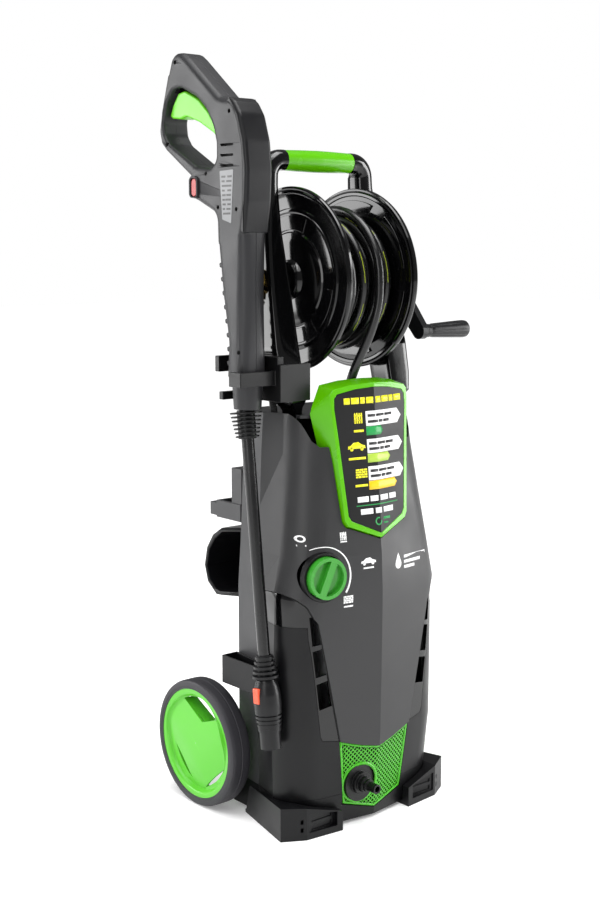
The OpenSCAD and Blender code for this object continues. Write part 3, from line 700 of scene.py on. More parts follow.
def twin(
    node: str,
    finish: Finish,
    cuts: Sequence[tuple[Sequence[Point], float, float]],
    along: Along,
    edge: float,
) -> bpy.types.Object:
    """Makes a piece in a CAD node's own shape, with further cuts and eased edges.

    Args:
        node: The node that it takes the place of.
        finish: What it is made of.
        cuts: The outlines to cut, each with the depths it runs between, in millimetres.
        along: The plane that the outlines are drawn in.
        edge: The width of the eased edges in millimetres.

    Returns:
        The new object.
    """
    source = frame["nodes"][node].data
    body = next(b for b, nodes in frame["record"]["behaviour"]["bodies"].items() if node in nodes)
    made = piece(f"{node}_moulding", [tuple(v.co / MM) for v in source.vertices],
                 [list(p.vertices) for p in source.polygons], finish, body)
    carve(made, cuts, along, finish)
    ease_edges(made, edge, 28)
    made.modifiers.move(len(made.modifiers) - 1, 0)
    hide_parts(node)
    return made


def smoothing(angle: float) -> bpy.types.NodeTree:
    """Builds the node group that joins split vertices and shades smoothly below an angle.

    Args:
        angle: Edges bent by more than this many degrees stay crisp.

    Returns:
        The node group, made once for each angle.
    """
    name = f"smooth_below_{angle:g}"
    known = bpy.data.node_groups.get(name)
    if known is not None:
        return known
    tree = bpy.data.node_groups.new(name, "GeometryNodeTree")
    tree.interface.new_socket("Geometry", in_out="INPUT", socket_type="NodeSocketGeometry")
    tree.interface.new_socket("Geometry", in_out="OUTPUT", socket_type="NodeSocketGeometry")
    start = add_node(tree, "NodeGroupInput").outputs[0]
    welded = add_node(
        tree, "GeometryNodeMergeByDistance", {"Distance": 0.004 * MM}, {"Geometry": start}
    ).outputs[0]
    faces = add_node(
        tree, "GeometryNodeSetShadeSmooth", {"domain": "FACE"}, {"Geometry": welded}
    ).outputs[0]
    bend = add_node(tree, "GeometryNodeInputMeshEdgeAngle").outputs[0]
    crisp = add_node(
        tree, "FunctionNodeCompare", {"operation": "GREATER_THAN", 1: math.radians(angle)},
        {0: bend},
    ).outputs[0]
    edges = add_node(
        tree, "GeometryNodeSetShadeSmooth", {"domain": "EDGE", "Shade Smooth": False},
        {"Geometry": faces, "Selection": crisp},
    ).outputs[0]
    add_node(tree, "NodeGroupOutput", None, {0: edges})
    return tree


# ---------------------------------------------------------------- prints


@dataclass
class Print:
    """Flat shapes laid on a CAD node's front, seen along +Y, as a thin film of ink."""

    node: str
    lift: float = 0.12
    grid: float = 4.0
    _tree: BVHTree | None = field(default=None, repr=False)

    def on_surface(self, x: float, z: float, lift: float) -> tuple[float, float, float]:
        """Finds the point of the node's front at a place in X and Z.

        Where a ray there meets nothing, or a face that looks sideways, the nearest face round
        it is extended to the place.

        Args:
            x: The place across, in millimetres.
            z: The height, in millimetres.
            lift: How far the point stands out from the surface, in millimetres.

        Returns:
            The point in millimetres.

        Raises:
            ValueError: If nothing of the node lies near.
        """
        if self._tree is None:
            mesh = frame["nodes"][self.node].data
            self._tree = BVHTree.FromPolygons(
                [v.co for v in mesh.vertices], [p.vertices[:] for p in mesh.polygons]
            )
        rings = [(0.0, 0.0)] + [
            (r * math.cos(a), r * math.sin(a))
            for r in (1.5, 3.0, 5.0, 8.0, 12.0) for a in [math.tau * k / 12 for k in range(12)]
        ]
        for dx, dz in rings:
            if (x + dx) * x < 0:
                continue
            start = Vector(((x + dx) * MM, -1, (z + dz) * MM))
            hit, normal, _, _ = self._tree.ray_cast(start, Vector((0, 1, 0)))
            if hit is None or abs(normal.y) < 0.3:
                continue
            if normal.y > 0:
                normal = -normal
            flat = (normal.x * dx + normal.z * dz) * MM / normal.y
            at = Vector((x * MM, hit.y + flat, z * MM)) + normal * lift * MM
            return tuple(at / MM)
        raise ValueError(f"nothing of {self.node} lies near ({x:.1f}, {z:.1f})")

    def lay(
        self, name: str, shapes: Sequence[Sequence[Point]], finish: Finish
    ) -> bpy.types.Object:
        """Lays closed outlines on the surface as one piece.

        Args:
            name: The piece's name.
            shapes: The outlines in X and Z, in millimetres.
            finish: The ink.

        Returns:
            The new object.
        """
        points: list[tuple[float, float, float]] = []
        faces: list[list[int]] = []
        for shape in shapes:
            flat = [Vector(p) for p in shape]
            low = Vector((min(p.x for p in flat), min(p.y for p in flat)))
            high = Vector((max(p.x for p in flat), max(p.y for p in flat)))
            wide = [low.x + self.grid * k for k in range(1, int((high.x - low.x) / self.grid) + 1)]
            tall = [low.y + self.grid * k for k in range(1, int((high.y - low.y) / self.grid) + 1)]
            seeds = flat + [Vector((x, y)) for x in wide for y in tall]
            lines: list[tuple[int, int]] = []
            if low.x < -0.1 and high.x > 0.1:
                lines.append((len(seeds), len(seeds) + 1))
                seeds += [Vector((0, low.y - 1)), Vector((0, high.y + 1))]
            made, _, tris, *_ = geometry.delaunay_2d_cdt(
                seeds, lines, [list(range(len(flat)))], 1, 1e-4
            )
            base = len(points)
            used = sorted({i for tri in tris for i in tri})
            number = {i: base + k for k, i in enumerate(used)}
            points += [self.on_surface(made[i].x, made[i].y, self.lift) for i in used]
            faces += [[number[i] for i in tri] for tri in tris]
        film = piece(name, points, faces, finish, "chassis")
        thicken(film, self.lift * 0.8, "film")
        return film


def bar(x0: float, x1: float, z0: float, z1: float) -> list[Point]:
    """Returns a rectangle in X and Z."""
    return [(x0, z0), (x1, z0), (x1, z1), (x0, z1)]


def arrow(x0: float, x1: float, z0: float, z1: float) -> list[Point]:
    """Returns a rectangle whose right end is a point."""
    tip = (z1 - z0) * 0.42
    return [(x0, z0), (x1 - tip, z0), (x1, (z0 + z1) / 2), (x1 - tip, z1), (x0, z1)]


def fence(x: float, z: float, size: float) -> list[list[Point]]:
    """Draws a garden fence symbol.

    Args:
        x: The middle across, in millimetres.
        z: The middle's height, in millimetres.
        size: The symbol's width in millimetres.

    Returns:
        The outlines in X and Z.
    """
    s = size / 13
    posts = [
        [(x + d * s - 1.1 * s, z - 7 * s), (x + d * s + 1.1 * s, z - 7 * s),
         (x + d * s + 1.1 * s, z + 5.4 * s), (x + d * s, z + 7 * s),
         (x + d * s - 1.1 * s, z + 5.4 * s)]
        for d in (-5, -1.7, 1.7, 5)
    ]
    return [*posts, bar(x - 6.4 * s, x + 6.4 * s, z - 3.6 * s, z - 2.2 * s),
            bar(x - 6.4 * s, x + 6.4 * s, z + 2 * s, z + 3.4 * s)]


def car(x: float, z: float, size: float) -> list[list[Point]]:
    """Draws a small car symbol.

    Args:
        x: The middle across, in millimetres.
        z: The middle's height, in millimetres.
        size: The symbol's width in millimetres.

    Returns:
        The outlines in X and Z.
    """
    s = size / 28
    body = [(-14, -3), (-13.4, 0.6), (-9, 1.6), (-5, 5), (3, 5.6), (8, 2), (13, 0.6), (14, -3)]
    wheels = [circle(x + d * s, z - 3.4 * s, 2.7 * s, 14) for d in (-8, 8)]
    return [[(x + a * s, z + b * s) for a, b in body], *wheels]


def bricks(x: float, z: float, size: float) -> list[list[Point]]:
    """Draws a brick wall symbol.

    Args:
        x: The middle across, in millimetres.
        z: The middle's height, in millimetres.
        size: The symbol's width in millimetres.

    Returns:
        The outlines in X and Z.
    """
    s = size / 19
    rows: list[list[Point]] = []
    for row in range(4):
        z0 = z + (-6 + 3.2 * row) * s
        cuts = [-9.5, -3, 3.3, 9.5] if row % 2 else [-9.5, -6, 0, 6, 9.5]
        rows += [bar(x + a * s, x + (b - 0.7) * s, z0, z0 + 2.5 * s)
                 for a, b in zip(cuts, cuts[1:])]
    return rows


# ---------------------------------------------------------------- sub-assemblies


@dataclass
class Studio:
    """Camera, soft lamps and a plain pale floor."""

    camera_at: tuple[float, float, float] = (-1.2214, -1.4045, 0.7606)
    facing: tuple[float, float, float] = (0.637, 0.757, -0.146)
    lens: float = 55.76

    def camera(self) -> None:
        """Sets the camera at the viewing angle."""
        data = bpy.data.cameras.new("camera")
        data.lens = self.lens
        data.sensor_width = 36
        made = bpy.data.objects.new("camera", data)
        made.location = self.camera_at
        made.rotation_euler = Vector(self.facing).to_track_quat("-Z", "Y").to_euler()
        bpy.context.scene.collection.objects.link(made)
        bpy.context.scene.camera = made

    def lamp(
        self, name: str, at: Sequence[float], size: tuple[float, float], power: float
    ) -> None:
        """Adds one soft box aimed at the machine's middle.

        Args:
            name: The lamp's name.
            at: Its place in metres.
            size: Its width and height in metres.
            power: Its power in watts.
        """
        data = bpy.data.lights.new(name, "AREA")
        data.shape = "RECTANGLE"
        data.size, data.size_y = size
        data.energy = power
        made = bpy.data.objects.new(name, data)
        made.location = at
        aim = Vector((0, 0, 0.5)) - Vector(at)
        made.rotation_euler = aim.to_track_quat("-Z", "Y").to_euler()
        bpy.context.scene.collection.objects.link(made)

    def build(self) -> None:
        """Makes the floor, the surroundings and the lamps."""
        scene = bpy.context.scene
        scene.view_settings.view_transform = "Standard"
        world = bpy.data.worlds.new("studio")
        world.use_nodes = True
        scene.world = world
        tree = world.node_tree
        surround = tree.nodes["Background"]
        surround.inputs["Color"].default_value = (1, 1, 1, 1)
        surround.inputs["Strength"].default_value = 0.22
        backdrop = add_node(tree, "ShaderNodeBackground", {"Strength": 1.0})
        backdrop.inputs["Color"].default_value = (1, 1, 1, 1)
        seen = add_node(tree, "ShaderNodeLightPath").outputs["Is Camera Ray"]
        both = add_node(
            tree, "ShaderNodeMixShader", None,
            {0: seen, 1: surround.outputs[0], 2: backdrop.outputs[0]},
        )
        tree.links.new(both.outputs[0], tree.nodes["World Output"].inputs[0])
        size = 14.0
        mesh = bpy.data.meshes.new("floor")
        mesh.from_pydata(
            [(-size, -size, 0), (size, -size, 0), (size, size, 0), (-size, size, 0)], [],
            [(0, 1, 2, 3)],
        )
        floor = bpy.data.objects.new("floor", mesh)
        scene.collection.objects.link(floor)
        pale = bpy.data.materials.new("pale_floor")
        pale.use_nodes = True
        shader = pale.node_tree.nodes["Principled BSDF"]
        shader.inputs["Base Color"].default_value = (0.9, 0.9, 0.9, 1)
        shader.inputs["Roughness"].default_value = 0.9
        shader.inputs["Emission Color"].default_value = (1, 1, 1, 1)
        shader.inputs["Emission Strength"].default_value = 0.2
        mesh.materials.append(pale)
        sun = bpy.data.lights.new("sky_light", "SUN")
        sun.energy = 2.6
        sun.angle = math.radians(60)
        made = bpy.data.objects.new("sky_light", sun)
        made.rotation_euler = (math.radians(12), math.radians(-10), 0)
        scene.collection.objects.link(made)
        self.lamp("right_strip", (2.4, -1.55, 0.9), (0.9, 2.0), 60)
        self.lamp("left_front", (-2.3, -1.1, 1.3), (0.8, 1.6), 16)
        self.lamp("left_rear", (-1.7, 1.9, 1.2), (1.2, 1.8), 45)
        self.lamp("overhead", (0.2, -0.3, 2.6), (1.4, 1.0), 22)


@dataclass
class HoseRun:
    """The high-pressure hose: wound on the drum, and its lead into the housing."""

    diameter: float = 12.0
    half_width: float = 43.0
    per_turn: int = 40
    layers: tuple[tuple[float, float, int], ...] = ((53.0, 6.0, 1), (67.6, 5.6, -1))
    sag: float = 3.0
    marks: int = 22
    lead: tuple[tuple[float, float, float], ...] = (
        (14, -95, 712), (13, -95, 690), (10, -92, 668), (6, -86, 646), (1, -78, 624),
        (-4, -69, 602), (-7, -62, 580), (-8, -58.5, 560), (-8, -58, 541),
    )

    def turns(self) -> list[tuple[float, float]]:
        """Winds the tight layers, each given as its radius, its turns and the way it runs.

        Returns:
            The radius and the place across for each step, in millimetres.
        """
        steps: list[tuple[float, float]] = []
        for radius, count, way in self.layers:
            total = int(count * self.per_turn)
            for k in range(total):
                t = k / total
                steps.append((radius, way * self.half_width * (2 * t - 1)))
        return steps

    def winding(self) -> list[Vector]:
        """Works out the wound hose's centreline, with loose turns outside the tight layers.

        Returns:
            Its points in millimetres, from the drum out to the lead.
        """
        axis_z = joint("reel_spin")["pos_m"][2] / MM
        steps = self.turns()
        loose = [(82.0, -43.0), (82.0, -22.0), (81.6, -2.0), (82.0, 22.0), (82.0, 40.0),
                 (84.0, 26.0), (95.0, self.lead[0][0])]
        outer: list[tuple[float, float]] = []
        for (r0, x0), (r1, x1) in zip(loose, loose[1:]):
            for k in range(self.per_turn):
                t = k / self.per_turn
                ease = t * t * (3 - 2 * t)
                outer.append((r0 + (r1 - r0) * ease, x0 + (x1 - x0) * t))
        steps += outer
        blended: list[tuple[float, float]] = []
        window = self.per_turn // 4
        for i in range(len(steps)):
            near = steps[max(0, i - window) : i + window + 1]
            blended.append((sum(s[0] for s in near) / len(near),
                            sum(s[1] for s in near) / len(near)))
        blended[-window:] = steps[-window:]
        last = len(blended)
        path: list[Vector] = []
        for i, (radius, x) in enumerate(blended):
            angle = math.tau * (i - last) / self.per_turn
            stray = noise.noise(Vector((i / 23, 3.1, 0)))
            fade = min(1.0, (last - i) / self.per_turn)
            r = radius + 0.8 * stray * fade
            path.append(Vector((x + 2.0 * stray * fade, -r * math.cos(angle),
                                axis_z - self.sag - r * math.sin(angle))))
        path.append(Vector(self.lead[0]))
        return path

    def build(self) -> None:
        """Makes both stretches as round cords, and the print along the winding."""
        path = self.winding()
        wound = line("hose_winding", path, self.diameter, HOSE, "reel")
        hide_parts("hose_coil")
        route = smooth_path([Vector(p) for p in self.lead])
        lead = line("hose_lead", route, self.diameter, HOSE, "chassis")
        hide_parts("hose_tail")
        self.stripe(path)

    def stripe(self, path: Sequence[Vector]) -> None:
        """Prints a broken line along the outermost turns.

        Args:
            path: The wound hose's centreline in millimetres.
        """
        axis_z = joint("reel_spin")["pos_m"][2] / MM
        first = len(path) - int(4.6 * self.per_turn)
        for k in range(self.marks):
            start = first + k * 5
            run = path[start : start + 4]
            out = [p + Vector((-0.35, p.y / 90, (p.z - axis_z) / 90)).normalized()
                   * (self.diameter / 2 - 0.15) for p in run]
            line(f"hose_print_{k:02d}", out, 0.9, HOSE_INK, "reel")


@dataclass
class Reel:
    """Flanges of the hose reel, the drum and the crank."""

    sides: int = 144

    def flange(self, side: int) -> None:
        """Builds one flange with its rim beads, steps and stiffening pads.

        Args:
            side: -1 for the left flange and 1 for the right one.
        """
        name = "reel_flange_right" if side > 0 else "reel_flange_left"
        at = joint("reel_spin")["pos_m"]
        rim = box_mm(name)[1].y
        profile = [
            (12.1, 50.4), (92, 50.4), (96, 50.8), (106, 52.6), (109, 52.9), (110.5, 51.8),
            (113.5, 51.5), (115, 52.3), (116.3, 51.7), (118.2, 52.1), (rim - 0.3, 53.8),
            (rim - 0.1, 57.0), (118.6, 58.9), (116.6, 59.2), (115.2, 58.3), (113.6, 59.0),
            (111.2, 58.6), (109.6, 56.4), (104, 55.3), (92, 54.0), (90, 55.2), (87, 55.4),
            (85, 54.2), (62, 53.4), (60, 55.0), (54, 55.6), (48, 57.2), (26, 57.4),
            (24, 60.0), (22.5, 65.4), (21.5, 66), (12.1, 66),
        ]
        turn = Matrix.Translation(Vector(at) / MM) @ Matrix.Scale(side, 4, (1, 0, 0))
        made = lathe(f"{name}_disc", profile, GLOSS, "reel", turn, self.sides)
        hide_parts(name)
        for k in range(6):
            self.pad(name, side, k)

    def pad(self, name: str, side: int, k: int) -> None:
        """Adds one raised sector between the hub and the rim, on both faces of a flange.

        Args:
            name: The flange's node.
            side: -1 for the left flange and 1 for the right one.
            k: The sector's number round the axis.
        """
        z = joint("reel_spin")["pos_m"][2] / MM
        start, sweep = math.radians(60 * k + 8), math.radians(44)
        for face, (low, high, inner, outer) in enumerate(
            ((53.0, 55.4, 64.0, 83.0), (49.4, 51.0, 90.5, 104.0))
        ):
            arcs = [start + sweep * i / 14 for i in range(15)]
            outline = [(inner * math.cos(a), z + inner * math.sin(a)) for a in arcs]
            outline += [(outer * math.cos(a), z + outer * math.sin(a)) for a in reversed(arcs)]
            near, far = sorted((side * low, side * high))
            slab(f"{name}_pad_{k}_{face}", [outline], near, far, GLOSS, "reel", (0.7, 0.7))

    def crank(self) -> None:
        """Builds the fluted turning grip and dresses the arm."""
        soften("crank_arm", GRIP, 1.6)
        low, high = box_mm("crank_grip")
        reach = high.x - low.x
        at = Vector((low.x, (low.y + high.y) / 2, (low.z + high.z) / 2))
        profile = [(5.1, 0), (8.6, 0), (9.0, 0.6), (9.1, 6.6), (8.2, 8), (8.4, 10), (9.6, 14),
                   (11.2, reach * 0.6), (12, reach - 12), (12.1, reach - 6), (11.6, reach - 2.4),
                   (10.2, reach - 0.5), (8.8, reach), (5.1, reach)]

        def flutes(radius: float, along: float, angle: float) -> float:
            """Presses eight shallow flutes into the grip's middle.

            Args:
                radius: The radius before, in millimetres.
                along: The place along the grip, in millimetres.
                angle: The angle round it, in radians.

            Returns:
                The radius after, in millimetres.
            """
            if radius < 8 or not 12 < along < reach - 8:
                return radius
            return radius - 0.7 * max(0.0, math.cos(8 * angle)) ** 4

        made = lathe("crank_grip_sleeve", profile, GRIP, "crank_knob", Matrix.Translation(at), 128,
                     flutes)
        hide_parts("crank_grip")

    def build(self) -> None:
        """Builds the reel."""
        for side in (-1, 1):
            self.flange(side)
        for node, finish, edge in (("reel_drum", GLOSS, 0.8), ("reel_bushes", NYLON, 0.4),
                                   ("reel_swivel", BRASS, 0.4)):
            soften(node, finish, edge)
        self.crank()


@dataclass
class Wheel:
    """One wheel: a dished green disc with three stepped lobes, and its tyre."""

    side: int
    rim: float = 75.0
    bore: float = 6.1
    sides: int = 180

    def height(self, radius: float, angle: float) -> float:
        """Returns how far inside the outer face the disc lies.

        Args:
            radius: The distance from the axle in millimetres.
            angle: The angle from straight up, in radians.

        Returns:
            The depth in millimetres.
        """
        if radius > 67.5:
            return 1.0 + max(0.0, 69.0 - radius) * 1.2
        slope = [radius * math.cos(angle - math.radians(a)) - 24 for a in (0, 136, 222)]
        soft = sum(0.16 * (d + math.sqrt(d * d + 30)) / 2 for d in slope)
        wall = 6.0 * max(0.0, (radius - 64.5) / 3.0)
        return 1.2 + soft - min(wall, 5.0)

    def disc(self) -> None:
        """Builds the disc from rings of points, and cuts its window and crescents."""
        name = "wheel_hub_right" if self.side > 0 else "wheel_hub_left"
        body = "wheel_right" if self.side > 0 else "wheel_left"
        low, high = box_mm(name)
        middle = Vector((0, (low.y + high.y) / 2, (low.z + high.z) / 2))
        face, thick = (high.x if self.side > 0 else -low.x), 3.0
        radii = [0.8, 6, 12, 18, 26, 34, 42, 50, 58, 64.4, 65.6, 66.8, 67.6, 69.2, 73.4, 74.4,
                 self.rim - 0.1]
        points: list[tuple[float, float, float]] = []
        rings: list[list[int]] = []

        def ring(radius: float, depth: Callable[[float], float]) -> None:
            """Adds one ring of points at a depth that may change with the angle.

            Args:
                radius: The ring's radius in millimetres.
                depth: The depth below the outer face for each angle.
            """
            rings.append([])
            for k in range(self.sides):
                a = math.tau * k / self.sides
                rings[-1].append(len(points))
                points.append((self.side * (face - depth(a)), radius * math.sin(a),
                               radius * math.cos(a)))

        for r in radii:
            ring(r, lambda a, r=r: self.height(r, a) - (0.3 if r > 74.6 else 0.0))
        ring(self.rim, lambda _: 2.0)
        ring(self.rim, lambda _: high.x - low.x)
        ring(70.5, lambda _: high.x - low.x)
        ring(70.0, lambda _: 11.0)
        for r in reversed(radii[1:10]):
            ring(r, lambda a, r=r: self.height(r, a) + thick)
        ring(13.0, lambda _: 28.0)
        ring(self.bore, lambda _: 28.0)
        ring(self.bore, lambda _: 2.4)
        ring(0.8, lambda _: 1.9)
        faces = [[rings[i][k], rings[i][(k + 1) % self.sides],
                  rings[(i + 1) % len(rings)][(k + 1) % self.sides], rings[(i + 1) % len(rings)][k]]
                 for i in range(len(rings)) for k in range(self.sides)]
        made = piece(f"{name}_disc", points, faces, WHEEL, body, Matrix.Translation(middle), 32)
        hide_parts(name)
        y, z = middle.y, middle.z
        arc = [math.radians(30 - 76 * k / 14) for k in range(15)]
        window = [(y + 63.4 * math.sin(a), z + 63.4 * math.cos(a)) for a in arc]
        window += rounded([(window[-1][0], window[-1][1], 0), (y - 14, z + 33, 3),
                           (window[0][0], window[0][1], 0)])[1:-1]
        cuts = [(window, self.side * 118, self.side * 170)]
        for start, end, bulge in (((52, -12), (13, -56), 5.5), ((-14, -60), (-58, -22), 4.5)):
            first, last = Vector(start), Vector(end)
            out = ((first + last) / 2).normalized()
            lens = [first.lerp(last, k / 12) + out * bulge * math.sin(math.pi * k / 12)
                    for k in range(13)]
            lens += [last.lerp(first, k / 12) - out * 1.2 * math.sin(math.pi * k / 12)
                     for k in range(1, 12)]
            cuts.append(([(y + p.x, z + p.y) for p in lens], self.side * 118, self.side * 170))
        carve(made, cuts, Along.SIDE, WHEEL)
        corner, left, right = Vector((y - 14, z + 33)), Vector(window[0]), Vector(window[14])
        for k, end in enumerate((left, right)):
            way = (end - corner).normalized()
            beside = Vector((-way.y, way.x)) * (-2.4 if k else 2.4)
            wall = [corner - beside * 0.4, end, end - beside, corner - beside * 1.4 - way * 1.5]
            slab(f"{name}_wall_{k}", [[tuple(p) for p in wall]],
                 *sorted((self.side * (face - 8.5), self.side * (face - 26))), WHEEL, body,
                 (0.3, 0.3))

    def tyre(self) -> None:
        """Builds the tyre with its rounded shoulders, tread lines and sidewall step."""
        name = "tyre_right" if self.side > 0 else "tyre_left"
        low, high = box_mm(name)
        body = "wheel_right" if self.side > 0 else "wheel_left"
        inner, outer = (low.x, high.x) if self.side > 0 else (-high.x, -low.x)
        top = (high.z - low.z) / 2
        profile = [(75.2, inner + 1), (80, inner + 0.3), (83.5, inner + 0.4), (85.7, inner + 1.8),
                   (top - 0.25, inner + 4.4), (top, inner + 7), (top, inner + 15),
                   (top - 0.5, inner + 15.6), (top - 0.5, inner + 16.4), (top, inner + 17),
                   (top, outer - 7), (top - 0.25, outer - 4.4), (85.7, outer - 1.8),
                   (83.5, outer - 0.4), (80, outer - 0.1), (78.4, outer - 0.3),
                   (77.8, outer - 0.9), (75.2, outer - 0.9)]
        centre = Vector((0, (low.y + high.y) / 2, (low.z + high.z) / 2))
        turn = Matrix.Translation(centre) @ Matrix.Scale(self.side, 4, (1, 0, 0))
        made = lathe(f"{name}_ring", profile, TYRE, body, turn, 144)
        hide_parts(name)

    def build(self) -> None:
        """Builds the wheel."""
        self.disc()
        self.tyre()


@dataclass
class InletGrille:
    """The green lattice round the water inlet."""

    pitch: float = 6.6
    strand: float = 0.23
    border: float = 3.0
    middle_z: float = 68.0

    def outline(self) -> list[Point]:
        """Works out the grille's outline from its CAD box.

        Returns:
            Its points in X and Z, in millimetres.
        """
        low, high = box_mm("inlet_grille")
        half, base, top = high.x, low.z, high.z
        right = [(half * 0.832, base + 15), (half, top), (half * 0.733, top - 5.6),
                 (half * 0.375, top - 12.2), (0.0, top - 17)]
        return [(0.0, base), *right, *[(-x, z) for x, z in right[-2::-1]]]

    def build(self) -> None:
        """Builds the lattice, its frame and the painted shade behind it."""
        lay = Print("inlet_grille", lift=0.0)
        loop = self.outline()
        inner = inset(loop, [self.border] * len(loop))
        hole = box_mm("water_inlet")
        centre = Vector(((hole[0].x + hole[1].x) / 2, (hole[0].z + hole[1].z) / 2))
        reach = (hole[1].x - hole[0].x) / 2 + 1.2
        points: list[tuple[float, float, float]] = []
        faces: list[list[int]] = []
        half = self.pitch / 2
        cell = [(0, -half), (half, 0), (0, half), (-half, 0)]
        spans = range(-30, 31)
        for i in spans:
            for j in spans:
                mid = Vector(((i + j) * half, self.middle_z + (i - j) * half))
                if (mid - centre).length < reach or not self.holds(inner, mid, half * 0.2):
                    continue
                base = len(points)
                open_size = 1 - self.strand * 1.42
                for scale in (1.0, open_size):
                    points += [lay.on_surface(mid.x + a * scale, mid.y + b * scale, 0)
                               for a, b in cell]
                faces += [[base + k, base + (k + 1) % 4, base + 4 + (k + 1) % 4, base + 4 + k]
                          for k in range(4)]
        made = piece("grille_lattice", points, faces, GRILLE, "chassis")
        thicken(made, 1.0)
        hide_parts("inlet_grille")
        self.frame_and_back(lay, loop, inner, centre, reach)

    def holds(self, loop: Sequence[Point], at: Vector, margin: float) -> bool:
        """Tells whether a point lies inside a loop by at least a margin.

        Args:
            loop: The loop, in millimetres.
            at: The point.
            margin: The least distance from the loop.

        Returns:
            Whether it does.
        """
        inside = False
        for a, b in zip(loop, [*loop[1:], loop[0]]):
            if (a[1] > at.y) != (b[1] > at.y):
                if at.x < (b[0] - a[0]) * (at.y - a[1]) / (b[1] - a[1]) + a[0]:
                    inside = not inside
            near = geometry.intersect_point_line(at, Vector(a), Vector(b))
            if 0 <= near[1] <= 1 and (near[0] - at).length < margin:
                return False
        return inside

    def frame_and_back(
        self, lay: Print, loop: list[Point], inner: list[Point], centre: Vector, reach: float
    ) -> None:
        """Adds the frame round the lattice and a panel of painted shade behind it.

        Args:
            lay: The surface that they lie on.
            loop: The grille's outline.
            inner: The outline inside the frame.
            centre: The inlet's centre.
            reach: The radius of the hole round the inlet.
        """
        count = len(loop)
        points: list[tuple[float, float, float]] = []
        faces: list[list[int]] = []
        steps = 8
        for i in range(count):
            j = (i + 1) % count
            base = len(points)
            for k in range(steps + 1):
                t = k / steps
                for pair in (loop, inner):
                    x = pair[i][0] + (pair[j][0] - pair[i][0]) * t
                    z = pair[i][1] + (pair[j][1] - pair[i][1]) * t
                    tight = 0.997 if pair is loop else 1.0
                    level = z + (self.middle_z - z) * (1 - tight)
                    points.append(lay.on_surface(x * tight, level, 0.3))
            faces += [[base + 2 * k, base + 2 * k + 1, base + 2 * k + 3, base + 2 * k + 2]
                      for k in range(steps)]
        thicken(piece("grille_frame", points, faces, GRILLE, "chassis"), 2.2)
        ring_points: list[tuple[float, float, float]] = []
        ring_faces: list[list[int]] = []
        sides = 40
        for k in range(sides):
            a = math.tau * k / sides
            for r in (reach - 2.6, reach + 1.4):
                ring_points.append(
                    lay.on_surface(centre.x + r * math.cos(a), centre.y + r * math.sin(a), 0.35)
                )
        for k in range(sides):
            a, b = 2 * k, 2 * ((k + 1) % sides)
            ring_faces.append([a, a + 1, b + 1, b])
        thicken(piece("grille_collar", ring_points, ring_faces, GRILLE, "chassis"), 2.0)
        front = box_mm("inlet_grille")[0].y
        outline = [(x * 0.97, z + (self.middle_z - z) * 0.03) for x, z in loop]
        hole = circle(centre.x, centre.y, 20, 32)
        # The backing is a near-black sheet of painted shade, standing in for the shade behind the lattice.
        slab("grille_shade_backing", [outline, hole], -(front + 26), -(front + 24), PAINTED_SHADE, "chassis",
             (0.2, 0.2), Along.FRONT)


